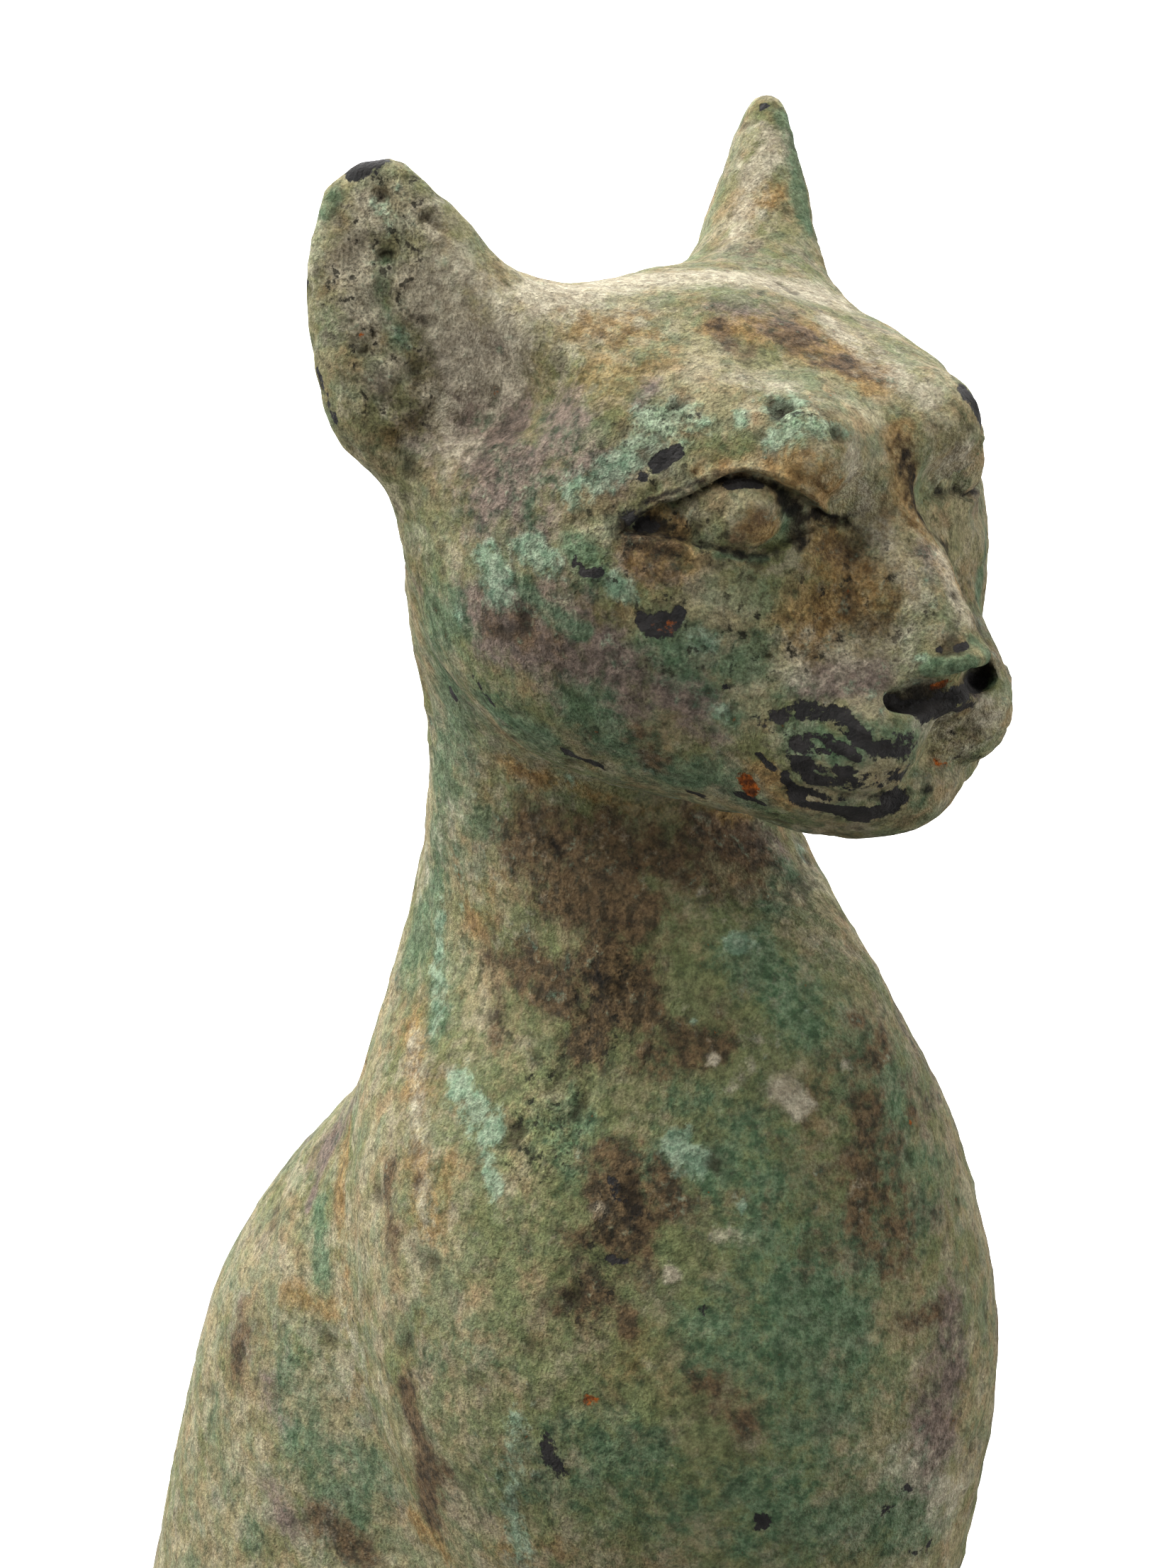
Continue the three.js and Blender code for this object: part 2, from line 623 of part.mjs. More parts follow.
const cat = figureGeometry();
const middle = (cat.boundingBox.min.y + cat.boundingBox.max.y) / 2;
cat.translate(0, -middle, BASE_THICKNESS);
const casting = solidOf(cat).add(solidOf(baseGeometry(cat.boundingBox))).getMesh();
const castGeometry = new THREE.BufferGeometry();
castGeometry.setAttribute('position', new THREE.BufferAttribute(casting.vertProperties, 3));
castGeometry.setIndex(new THREE.BufferAttribute(casting.triVerts, 1));
castGeometry.computeVertexNormals();

const bronze = new THREE.MeshStandardMaterial({ color: 0x7d7a55, roughness: 0.78, metalness: 0.25 });
const catFigure = new THREE.Mesh(castGeometry, bronze);
catFigure.name = 'cat_figure';

const object = new THREE.Group();
object.add(catFigure);

export default object;
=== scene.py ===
import math

import bmesh
import bpy
import numpy as np
from mathutils import Matrix, Vector
from mathutils.bvhtree import BVHTree


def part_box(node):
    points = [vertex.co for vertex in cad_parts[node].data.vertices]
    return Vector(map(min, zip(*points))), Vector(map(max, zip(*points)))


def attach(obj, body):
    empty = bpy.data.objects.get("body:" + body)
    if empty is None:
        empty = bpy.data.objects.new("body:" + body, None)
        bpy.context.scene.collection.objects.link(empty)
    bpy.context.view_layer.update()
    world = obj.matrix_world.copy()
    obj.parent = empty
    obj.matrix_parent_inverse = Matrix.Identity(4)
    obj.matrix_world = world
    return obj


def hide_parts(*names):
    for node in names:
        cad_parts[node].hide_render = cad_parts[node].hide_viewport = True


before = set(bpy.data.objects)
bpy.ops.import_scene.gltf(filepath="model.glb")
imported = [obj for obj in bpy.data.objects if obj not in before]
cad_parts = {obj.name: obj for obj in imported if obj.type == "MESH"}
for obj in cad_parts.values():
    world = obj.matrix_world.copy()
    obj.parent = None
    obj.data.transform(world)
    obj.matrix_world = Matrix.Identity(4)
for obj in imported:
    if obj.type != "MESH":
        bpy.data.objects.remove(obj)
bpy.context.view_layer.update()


# The viewpoint: a long lens to the right of the cat's face and a little above it. The picture is
# cropped through the haunches, so the camera looks at the upper chest.
PICTURE = (1659, 2212)
LENS = 110.0
SENSOR = 36.0
VIEW_TURN = math.radians(-44)
VIEW_RISE = math.radians(17.9)
VIEW_DISTANCE = 0.5244
VIEW_TARGET = Vector((0.0, -0.0229, 0.222))

to_camera = Vector((math.sin(VIEW_TURN) * math.cos(VIEW_RISE),
                    -math.cos(VIEW_TURN) * math.cos(VIEW_RISE),
                    math.sin(VIEW_RISE)))
camera_right = Vector((math.cos(VIEW_TURN), math.sin(VIEW_TURN), 0.0))
camera_up = to_camera.cross(camera_right)
camera_place = VIEW_TARGET + to_camera * VIEW_DISTANCE
lens_data = bpy.data.cameras.new("camera")
lens_data.lens = LENS
lens_data.sensor_fit = "VERTICAL"
lens_data.sensor_height = SENSOR
lens_data.clip_start = 0.01
camera = bpy.data.objects.new("camera", lens_data)
turn = Matrix((camera_right, camera_up, to_camera)).transposed().to_4x4()
camera.matrix_world = Matrix.Translation(camera_place) @ turn
bpy.context.scene.collection.objects.link(camera)
bpy.context.scene.camera = camera


# The body: one hollow bronze casting with the rest of the figure. Its forms are distances to
# stacks of level ellipses, balls and cones, blended into each other as the wax was. Lengths are
# thousandths of the figure's height, and places are (side, ahead, up) from the base's top.
high_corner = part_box("cat_figure")[1]
BASE_THICKNESS = 0.010
FIGURE_HEIGHT = high_corner[2] - BASE_THICKNESS
SHARE = FIGURE_HEIGHT / 1000
MM = 0.001 / SHARE
MIDDLE_SOFTNESS = 4

CHEST = dict(
    heights=(197, 310, 437, 532, 616, 687, 757, 831),
    ahead=(140, 135, 124, 121, 109, 100, 78, 81),
    half_width=(69, 93, 96, 119, 108, 68, 66, 71),
    half_depth=(35, 73, 117, 129, 125, 110, 66, 66))
TRUNK = dict(
    heights=(-21, 106, 229, 335, 437, 528, 616, 687),
    ahead=(-121, -85, -56, -21, -5, 8, 52, 96),
    half_width=(132, 130, 121, 109, 102, 93, 67, 39),
    half_depth=(170, 173, 157, 147, 135, 109, 77, 37))
UPPER_LEG = ((45, 135, 404), (42, 152, 57), 57, 34)
PASTERN = ((42, 152, 106), (42, 160, 35), 32, 33)
FOREPAW = ((41, 202, 15), (34, 73, 31))
TOE_RADII = (10.7, 28.7, 17)
TOE_ASIDE = (-22.8, -7.6, 7.6, 22.8)
TOE_FRONT = (245.5, 252.2, 252.2, 245.5)
TOE_UP = 10
HAUNCH = ((84, -67, 141), (63, 161, 126))
HAUNCH_PITCH = math.radians(-14)
HIND_FOOT = ((105, -40, 21), (107, 125, 14), 32, 27)
TAIL_BENDS = ((0, -263, 50), (-134, -296, 8), (-148, 182, 14))
TAIL_RADII = (34, 19)
TAIL_STEPS = 14
TORSO_ROUNDING = 28
TORSO_BLEND = 18
UPPER_LEG_BLEND = 25
PASTERN_BLEND = 18
TOE_BLEND = 4
PAW_BLEND = 14
HAUNCH_BLEND = 16
HIND_FOOT_BLEND = 18
TAIL_BLEND = 8
LEGS_BELOW = 520
TAIL_BELOW = 180
FAR = 1000.0


def column(values):
    """A place or a set of sizes as a column, to work with many places at once."""
    return np.array(values, float).reshape(3, 1)


def join(a, b, width):
    """The smaller of two distances; where they differ by less than width it is lowered by a
    parabola, which fills the corner between the two forms."""
    mix = np.clip(0.5 + 0.5 * (b - a) / width, 0.0, 1.0)
    return b + (a - b) * mix - width * mix * (1.0 - mix)


def keep_both(a, b, width):
    """The larger of two distances with the same soft corner, which is what both forms share."""
    return -join(-a, -b, width)


def curve(stations, values, at):
    """A cubic through values at rising stations: between two of them it leaves and arrives with
    the slope of the chord across their neighbours. Beyond the ends it stays level."""
    stations = np.array(stations, float)
    values = np.array(values, float)
    last = len(stations) - 1
    before = np.maximum(np.arange(last + 1) - 1, 0)
    after = np.minimum(np.arange(last + 1) + 1, last)
    slopes = (values[after] - values[before]) / (stations[after] - stations[before])
    i = np.clip(np.searchsorted(stations, at) - 1, 0, last - 1)
    step = stations[i + 1] - stations[i]
    t = np.clip((at - stations[i]) / step, 0.0, 1.0)
    rise = t * t * (3 - 2 * t)
    leave = t * (1 - t) ** 2 * step * slopes[i]
    arrive = t * t * (t - 1) * step * slopes[i + 1]
    return values[i] * (1 - rise) + values[i + 1] * rise + leave + arrive


def ellipsoid(place, middle, radii):
    """Nearly the distance to an ellipsoid: the scaled radius times its excess over one, divided
    by the steepness of that scaled radius."""
    scaled = (place - column(middle)) / column(radii)
    reach = np.sqrt((scaled ** 2).sum(0)) + 1e-9
    slope = np.sqrt(((scaled / column(radii)) ** 2).sum(0)) + 1e-9
    return reach * (reach - 1) / slope


def round_cone(place, start, end, start_radius, end_radius):
    """The distance to two balls and the cone that touches both, from the distance along the axis
    and aside of it."""
    axis = column(end) - column(start)
    length = math.sqrt((axis ** 2).sum())
    narrowing = (start_radius - end_radius) / length
    side = math.sqrt(1 - narrowing ** 2)
    away = place - column(start)
    along = (away * axis).sum(0) / length
    aside = np.sqrt(np.maximum((away ** 2).sum(0) - along ** 2, 0.0))
    foot = along * side - aside * narrowing
    wall = aside * side + along * narrowing - start_radius
    wall = np.where(foot < 0, np.hypot(along, aside) - start_radius, wall)
    return np.where(foot > length * side, np.hypot(along - length, aside) - end_radius, wall)


def ellipse_stack(place, sizes, rounding):
    """A stack of level ellipses whose middles and half axes follow smooth curves upwards, with
    its two ends rounded."""
    side, ahead, up = place
    heights = sizes["heights"]
    width = curve(heights, sizes["half_width"], up)
    depth = curve(heights, sizes["half_depth"], up)
    reach = np.hypot(side / width, (ahead - curve(heights, sizes["ahead"], up)) / depth)
    wall = (reach - 1) * np.minimum(width, depth)
    return keep_both(keep_both(wall, up - heights[-1], rounding), heights[0] - up, rounding)


def tail_line():
    """Even steps of a curve with one bend: the tail leaves the rump and runs along the cat's
    right side, on the base."""
    t = np.linspace(0, 1, 200)[:, None]
    start, bend, end = (np.array(point, float) for point in TAIL_BENDS)
    line = (1 - t) ** 2 * start + 2 * t * (1 - t) * bend + t ** 2 * end
    run = np.concatenate([[0.0], np.cumsum(np.linalg.norm(np.diff(line, axis=0), axis=1))])
    even = np.linspace(0, run[-1], TAIL_STEPS + 1)
    return np.stack([np.interp(even, run, line[:, axis]) for axis in range(3)], axis=1)


tail_points = tail_line()
tail_radii = np.linspace(*TAIL_RADII, TAIL_STEPS + 1)


def body(place, signed_place):
    """Chest, back, forelegs, paws, haunches and hind feet, the same left and right, and the tail
    on the right side alone. What lies far above a piece is not measured against it."""
    form = join(ellipse_stack(place, CHEST, TORSO_ROUNDING), ellipse_stack(place, TRUNK, TORSO_ROUNDING),
                TORSO_BLEND)
    if place[2].min() < LEGS_BELOW:
        form = join(form, round_cone(place, *UPPER_LEG), UPPER_LEG_BLEND)
        form = join(form, round_cone(place, *PASTERN), PASTERN_BLEND)
        turn_side, turn_up = math.cos(HAUNCH_PITCH), math.sin(HAUNCH_PITCH)
        side, ahead, up = place - column(HAUNCH[0])
        leaning = np.stack([side, ahead * turn_side - up * turn_up, ahead * turn_up + up * turn_side])
        paw = ellipsoid(place, *FOREPAW)
        for aside, front in zip(TOE_ASIDE, TOE_FRONT):
            toe = (FOREPAW[0][0] + aside, front - TOE_RADII[1], TOE_UP)
            paw = join(paw, ellipsoid(place, toe, TOE_RADII), TOE_BLEND)
        form = join(form, paw, PAW_BLEND)
        form = join(form, ellipsoid(leaning, (0, 0, 0), HAUNCH[1]), HAUNCH_BLEND)
        form = join(form, round_cone(place, *HIND_FOOT), HIND_FOOT_BLEND)
    if place[2].min() < TAIL_BELOW:
        tail = np.full(place.shape[1], FAR)
        for step in range(TAIL_STEPS):
            ends = (tail_points[step], tail_points[step + 1], tail_radii[step], tail_radii[step + 1])
            tail = np.minimum(tail, round_cone(signed_place, *ends))
        form = join(form, tail, TAIL_BLEND)
    return form


# The head: skull, cheeks, muzzle and ears of the same casting. Its places are measured from a
# point inside the skull, between the eyes, and it looks straight ahead.
HEAD_AHEAD, HEAD_UP = 151, 854
HEAD_PITCH = math.radians(-1.3)
SKULL = ((0, -28, 9.5), (95, 104, 90))
CHEEK = ((46, -13.5, -7), (20.5, 47, -54.5), 63.5, 32.5)
BRIDGE = ((0, 40, 41), (0, 103, -23.5), 29, 14)
WHISKER_PAD = ((25.5, 72, -46.5), (24.5, 31, 26.5))
CHIN = ((0, 64, -74.5), (25, 32, 18))
BROW = ((34.5, 64, 53), (58.5, 10.5, 49), 14.5, 13)
NOSTRIL = ((0, 116, -27), (25, 96, -34), 6, 4.5)
EAR_ROOT = (67.5, -51, 36)
EAR_TIP_WAY = (0.323, -0.29, 1)
EAR_FRONT_WAY = (0.513, 0.837, -0.13)
EAR = dict(
    heights=(-35, 0, 35, 70, 95, 116, 123),
    ahead=(-2.5, 3, -3, -8.5, -7.5, -5, -5),
    half_width=(32, 26.5, 33, 26.5, 18.5, 11, 9),
    half_depth=(32.5, 37, 48, 37.5, 28.5, 16.5, 13.5))
EAR_ROUNDING = 10
EAR_HOLLOW_FROM = 18
EAR_HOLLOW_WIDTH = 0.74
EAR_HOLLOW_AHEAD = 1.35
EAR_HOLLOW_ASIDE = 5
EAR_HOLLOW_END = 21
EAR_HOLLOW_RIM = 12
CHEEK_BLEND = 42
BRIDGE_BLEND = 18
WHISKER_PAD_BLEND = 25
CHIN_BLEND = 18
BROW_BLEND = 34
EAR_BLEND = 32
NOSTRIL_RIM = 4
CARVED_WITHIN = 20


def unit(values):
    """A direction of length one."""
    return np.array(values, float) / np.linalg.norm(values)


ear_tip = unit(EAR_TIP_WAY)
ear_front = unit(np.array(EAR_FRONT_WAY) - ear_tip * np.dot(EAR_FRONT_WAY, ear_tip))
ear_across = np.cross(ear_tip, ear_front)
EYE = (57.4, 60.1, 32.8)
EYE_INWARD_WAY = (-0.8, 0.6, -0.02)
eye_out = unit((0.62, 0.78, 0.05))
eye_inward = unit(np.array(EYE_INWARD_WAY) - eye_out * np.dot(EYE_INWARD_WAY, eye_out))
eye_up = np.cross(eye_out, eye_inward)

# Millimetres from the middle of the iris: towards the nose, and up.
UPPER_LID = ((-12.6, -9.1, -5.8, -3.4, -0.5, 2.3, 4.7, 7.1, 8.4, 10.5),
             (-1.1, 1.2, 2.5, 4.0, 4.8, 4.3, 2.9, 0.8, -0.5, -1.3))
LOWER_LID = ((-12.6, -9.9, -7.3, -4.7, -1.9, 0.9, 3.1, 5.0, 7.8, 10.5),
             (-1.3, -1.5, -1.9, -2.9, -3.4, -3.5, -3.1, -2.2, -1.5, -1.4))
EYE_REACH = (-1.2, 11.6)
EYE_WITHIN = 7.0
SOCKET_DEPTH = 1.1
SOCKET_EDGE = 0.2
LID_SLANT = 0.85
LID_TURN = 0.6
EYEBALL = ((-1.1, 0.3), (4.9, 3.8), 1.75)
EYEBALL_FULLNESS = 0.65
IRIS = ((0.1, 0.1), 3.0, 0.22)
IRIS_EDGE = 0.18

# The lids' rim, the fold outside it and the groove inside it: depth under the eye, how much more
# above it, distance in from the lids' edge, and width.
LID_LINES = ((-0.20, -0.32, -0.42, 0.42), (0.05, 0.20, -1.5, 0.8), (0.55, 0.35, 0.30, 0.42))


def in_frame(place, origin, first, second, third):
    """A place measured from an origin along three directions."""
    away = place - column(origin)
    return [(away * column(way)).sum(0) for way in (first, second, third)]


def eye_carving(place):
    """How much deeper the face lies round the eye. A thin raised rim runs along the lids, a
    groove inside it, and the eye between them is sunk, apart from the dome of the eyeball and
    the flat disc of the iris on it."""
    along, over, out = in_frame(place / MM, np.array(EYE) / MM, eye_inward, eye_up, eye_out)
    top = curve(*UPPER_LID, along)
    low = curve(*LOWER_LID, along)
    inside = np.minimum(top - over, over - low) * LID_SLANT
    inside = inside - np.maximum(np.abs(along - EYE_REACH[0]) - EYE_REACH[1], 0.0)
    upper = 1 / (1 + np.exp(-(over - (top + low) / 2) / LID_TURN))
    depth = SOCKET_DEPTH * np.clip(inside / SOCKET_DEPTH + SOCKET_EDGE, 0.0, 1.0)
    for least, more, inward, width in LID_LINES:
        depth = depth + (least + more * upper) * np.exp(-((inside - inward) / width) ** 2)
    middle, radii, rise = EYEBALL
    ball = 1 - ((along - middle[0]) / radii[0]) ** 2 - ((over - middle[1]) / radii[1]) ** 2
    depth = depth - rise * np.clip(ball, 0.0, 1.0) ** EYEBALL_FULLNESS
    middle, radius, rise = IRIS
    beyond = np.hypot(along - middle[0], over - middle[1]) - radius
    depth = depth - rise / (1 + np.exp(beyond / IRIS_EDGE))
    return depth * np.exp(-(out / EYE_WITHIN) ** 4) * MM


def soft_line(place, points, width):
    """A bell of the distance to a run of straight pieces, one on the line and nearly nothing two
    widths away from it."""
    nearest = np.full(place.shape[1], FAR)
    for start, end in zip(points[:-1], points[1:]):
        nearest = np.minimum(nearest, round_cone(place, start, end, 0.0, 0.0))
    return np.exp(-(np.maximum(nearest, 0) / width) ** 2)


# Each line of the face's carving is its depth, its width and its places. A ridge's depth is negative.
MOUTH = ((0, 97, -51), (0, 92, -59), (10, 96, -62), (19, 95, -68), (29, 92, -69), (42, 85, -66),
         (50, 74, -65))
NOSE_RIM = ((0, 117, -20), (10, 112, -19), (16, 105, -20.5))
WHISKERS = (((46, 89, -37), (42, 94, -39), (32, 102, -43), (20, 104, -46)),
            ((48, 88, -42), (43, 95, -49), (33, 101, -52), (18, 101, -55)),
            ((49, 86, -48), (44, 91, -56), (37, 95, -60), (23, 98, -62)))
TEAR_GROOVE = ((42, 72, 24), (30, 77, 26), (22, 80, 26))
CANTHUS = ((23, 80, 30), (23, 80, 31))
FACE_LINES = ((3.6, 3.2, MOUTH), (-1.6, 3.4, NOSE_RIM), *((-1.7, 1.6, ridge) for ridge in WHISKERS),
              (3.0, 4.5, TEAR_GROOVE), (12.0, 13.0, CANTHUS))


def face_carving(place):
    """The eye, the mouth that parts under the nose, the raised rim above the nostril, the three
    ridges on each whisker pad, the tear groove and the hollow beside the bridge."""
    deeper = eye_carving(place)
    for depth, width, line in FACE_LINES:
        deeper = deeper + depth * soft_line(place, line, width)
    return deeper


def in_head(x, ahead, up):
    """A place on the figure as a place by the head's own directions."""
    ahead, up = ahead - HEAD_AHEAD, up - HEAD_UP
    forward = ahead * math.cos(HEAD_PITCH) - up * math.sin(HEAD_PITCH)
    over = ahead * math.sin(HEAD_PITCH) + up * math.cos(HEAD_PITCH)
    return np.stack([np.hypot(x, MIDDLE_SOFTNESS), forward, over])


def head(place, carved):
    """Skull, cheeks, bridge, whisker pads, chin and brow blended, then the face's carving, the
    nostril and the ear with its shallow hollow."""
    form = ellipsoid(place, *SKULL)
    form = join(form, round_cone(place, *CHEEK), CHEEK_BLEND)
    form = join(form, round_cone(place, *BRIDGE), BRIDGE_BLEND)
    form = join(form, ellipsoid(place, *WHISKER_PAD), WHISKER_PAD_BLEND)
    form = join(form, ellipsoid(place, *CHIN), CHIN_BLEND)
    form = join(form, round_cone(place, *BROW), BROW_BLEND)
    if carved:
        face = np.flatnonzero((place[1] > 0) & (np.abs(form) < CARVED_WITHIN))
        form[face] += face_carving(place[:, face])
    form = keep_both(form, -round_cone(place, *NOSTRIL), NOSTRIL_RIM)
    across, front, up = in_frame(place, EAR_ROOT, ear_across, ear_front, ear_tip)
    form = join(form, ellipse_stack(np.stack([front, across, up]), EAR, EAR_ROUNDING), EAR_BLEND)
    width = curve(EAR["heights"], EAR["half_depth"], up) * EAR_HOLLOW_WIDTH
    depth = curve(EAR["heights"], EAR["half_width"], up)
    aside = (across - curve(EAR["heights"], EAR["ahead"], up) + EAR_HOLLOW_ASIDE) / width
    hollow = np.hypot(aside, (front - depth * EAR_HOLLOW_AHEAD) / depth)
    hollow = keep_both((hollow - 1) * np.minimum(width, depth), EAR_HOLLOW_FROM - up, EAR_HOLLOW_END)
    return keep_both(form, -hollow, EAR_HOLLOW_RIM)


# The base: a thin plate cast with the cat, its corners rounded and its edges worn.
BASE_MARGIN = 0.004
BASE_CORNER = 0.006 / SHARE
BASE_EDGE = 6.0
BASE_BLEND = 3
BASE_BELOW = 60
HEAD_ABOVE = 690
HEAD_BLEND = 14
NAPE_BLEND = 28
NAPE_FROM = -28
NAPE_RUN = 85
half_width = high_corner[0] / SHARE
half_length = high_corner[1] / SHARE
base_middle = FOREPAW[0][1] + FOREPAW[1][1] + BASE_MARGIN / SHARE - half_length


def base(x, ahead, up):
    """The distance to a rounded rectangle in plan, kept between the base's two faces."""
    beyond_x = np.abs(x) - half_width + BASE_CORNER
    beyond_y = np.abs(ahead - base_middle) - half_length + BASE_CORNER
    plan = np.hypot(np.maximum(beyond_x, 0), np.maximum(beyond_y, 0))
    plan = plan + np.minimum(np.maximum(beyond_x, beyond_y), 0) - BASE_CORNER
    thickness = BASE_THICKNESS / SHARE
    return keep_both(plan, np.abs(up + thickness / 2) - thickness / 2, BASE_EDGE)


def figure(points, carved=True):
    """The whole casting at points (x, y, z), with the cat looking towards minus y. Its two halves
    run into each other softly at the middle plane."""
    x, y, z = points
    place = np.stack([np.hypot(x, MIDDLE_SOFTNESS), -y, z])
    form = body(place, np.stack([x, -y, z]))
    high = np.flatnonzero(z > HEAD_ABOVE)
    if len(high):
        ahead = place[1, high] - HEAD_AHEAD
        nape = np.clip((NAPE_FROM - ahead) / NAPE_RUN, 0.0, 1.0)
        skull = head(in_head(x[high], place[1, high], z[high]), carved)
        form[high] = join(form[high], skull, HEAD_BLEND + NAPE_BLEND * nape)
    low = np.flatnonzero(z < BASE_BELOW)
    if len(low):
        form[low] = join(form[low], base(x[low], -y[low], z[low]), BASE_BLEND)
    return form


# The surface: a lattice with small cells at the head and larger ones lower down, about a middle
# line that leans forward with the neck. One corner of the mesh lies in each cell that the surface
# crosses, and one face across each lattice edge that it crosses.
ROW_HEIGHTS = (0, 340, 470, 655, 760, 1000)
ROW_CELLS = (6.9, 6.8, 5.1, 3.7, 2.8, 2.8)
ROW_LEANS = (0, 12, 42, 100, 140, 140)
ROWS_FROM = -BASE_THICKNESS / SHARE - 8.0
ROWS_TO = 1030
LATTICE_HALF = 60
LATTICE_WIDTH = 2 * LATTICE_HALF
BLOCK = 6
BLOCK_SAFETY = 2.0
SLOPE_STEP = 0.3
SETTLING_ROUNDS = 2
LONGEST_MOVE = 1.2


def lattice_rows():
    """Heights from below the base to above the ears, each a cell above the one before, in whole
    blocks."""
    rows = [ROWS_FROM]
    while rows[-1] < ROWS_TO or len(rows) % BLOCK:
        rows.append(rows[-1] + float(curve(ROW_HEIGHTS, ROW_CELLS, np.array(rows[-1]))))
    return np.array(rows)


rows = lattice_rows()
row_cell = curve(ROW_HEIGHTS, ROW_CELLS, rows)
row_lean = curve(ROW_HEIGHTS, ROW_LEANS, rows)


def lattice_place(k, j, i):
    """The place of lattice points by their row, line and number, which may lie between."""
    low = np.minimum(np.floor(k).astype(int), len(rows) - 2)
    part = k - low
    up, cell, lean = (line[low] * (1 - part) + line[low + 1] * part for line in (rows, row_cell, row_lean))
    return np.stack([(i - LATTICE_HALF) * cell, (j - LATTICE_HALF) * cell - lean, up])


def sampled():
    """The field at every lattice point. A block of points is measured point by point only where
    the field at its middle is small against the block's size, and else takes that value."""
    values = np.empty((len(rows), LATTICE_WIDTH, LATTICE_WIDTH))
    middles = (np.arange(LATTICE_WIDTH // BLOCK) + 0.5) * BLOCK - 0.5
    steps = np.stack(np.meshgrid(*[np.arange(BLOCK)] * 3, indexing="ij")).reshape(3, -1)
    for layer in range(0, len(rows), BLOCK):
        j, i = (grid.ravel() for grid in np.meshgrid(middles, middles, indexing="ij"))
        coarse = figure(lattice_place(np.full(len(j), layer + (BLOCK - 1) / 2), j, i), carved=False)
        values[layer:layer + BLOCK] = np.kron(coarse.reshape(len(middles), -1), np.ones((BLOCK, BLOCK)))
        reach = BLOCK_SAFETY * row_cell[layer + BLOCK // 2] * BLOCK * math.sqrt(3) / 2
        near = np.flatnonzero(np.abs(coarse) < reach)
        k = layer + np.repeat(steps[0][None], len(near), 0).ravel()
        j = (j[near][:, None] - (BLOCK - 1) / 2 + steps[1]).ravel().astype(int)
        i = (i[near][:, None] - (BLOCK - 1) / 2 + steps[2]).ravel().astype(int)
        if len(near):
            values[k, j, i] = figure(lattice_place(k, j, i))
    return values


def surface_of(values):
    """Corners and four-sided faces. A cell's corner is the mean of the points where its edges
    cross the surface, found by straight interpolation."""
    inside = values < 0
    cells = sum(inside[k:k - 1 or None, j:j - 1 or None, i:i - 1 or None].astype(np.int8)
                for k in (0, 1) for j in (0, 1) for i in (0, 1))
    crossed = np.argwhere((cells > 0) & (cells < 8))
    number = np.full(cells.shape, -1)
    number[tuple(crossed.T)] = np.arange(len(crossed))
    total = np.zeros((3, len(crossed)))
    count = np.zeros(len(crossed))
    faces = []
    for axis in range(3):
        first, second = (axis + 1) % 3, (axis + 2) % 3
        for a in (0, 1):
            for b in (0, 1):
                start = crossed.copy()
                start[:, first] += a
                start[:, second] += b
                end = start.copy()
                end[:, axis] += 1
                from_value, to_value = values[tuple(start.T)], values[tuple(end.T)]
                cuts = (from_value < 0) != (to_value < 0)
                t = np.where(cuts, from_value / np.where(cuts, from_value - to_value, 1.0), 0.0)
                at = lattice_place(*start.T) * (1 - t) + lattice_place(*end.T) * t
                total += at * cuts
                count += cuts
        lower = [slice(None)] * 3
        upper = [slice(None)] * 3
        lower[axis], upper[axis] = slice(0, -1), slice(1, None)
        edge = np.argwhere(inside[tuple(lower)] != inside[tuple(upper)])
        ring = []
        for a, b in ((-1, -1), (0, -1), (0, 0), (-1, 0)):
            cell = edge.copy()
            cell[:, first] += a
            cell[:, second] += b
            ring.append(number[tuple(cell.T)])
        ring = np.stack(ring, 1)
        out = inside[tuple(edge.T)]
        faces.append(np.where(out[:, None], ring[:, ::-1], ring))
    return total / count, np.concatenate(faces)


def slope_of(points):
    """The field and its slope at points, from small steps along each axis."""
    value = figure(points)
    slope = np.empty_like(points)
    for axis in range(3):
        ahead = points.copy()
        ahead[axis] += SLOPE_STEP
        slope[axis] = (figure(ahead) - value) / SLOPE_STEP
    return value, slope


def settled(points):
    """Points moved along the steepest way to where the field is zero, in a few rounds."""
    for _ in range(SETTLING_ROUNDS):
        value, slope = slope_of(points)
        move = np.clip(value / ((slope ** 2).sum(0) + 1e-6), -LONGEST_MOVE, LONGEST_MOVE)
        points = points - move * slope
    return points


corners, quads = surface_of(sampled())
corners = settled(corners)


# The face is carved finer than the rest, so its part of the mesh is divided once more. The flat
# underside is merged into one face, and then every face is split into triangles.
FINE_PLACES = (((58, 62, 33), 42), ((12, 94, -38), 38), ((32, 76, -56), 34))
FLAT_WITHIN = 0.3


def in_fine_places(points):
    """True for points within one of the balls round an eye and the muzzle."""
    place = in_head(points[0], -points[1], points[2])
    return np.any([np.sqrt(((place - column(middle)) ** 2).sum(0)) < radius
                   for middle, radius in FINE_PLACES], axis=0)


cat_mesh = bpy.data.meshes.new("bronze_cat")
cat_mesh.from_pydata(corners.T.tolist(), [], quads.tolist())
cat_form = bmesh.new()
cat_form.from_mesh(cat_mesh)
fine = in_fine_places(corners)
fine_edges = [edge for edge in cat_form.edges if all(fine[vert.index] for vert in edge.verts)]
bmesh.ops.subdivide_edges(cat_form, edges=fine_edges, cuts=1, use_grid_fill=True)
flat_below = corners[2].min() + FLAT_WITHIN
underside = [face for face in cat_form.faces if all(vert.co.z < flat_below for vert in face.verts)]
bmesh.ops.dissolve_faces(cat_form, faces=underside)
bmesh.ops.triangulate(cat_form, faces=cat_form.faces[:])
cat_form.to_mesh(cat_mesh)
cat_form.free()
points = np.empty(len(cat_mesh.vertices) * 3)
cat_mesh.vertices.foreach_get("co", points)
points = settled(points.reshape(-1, 3).T)


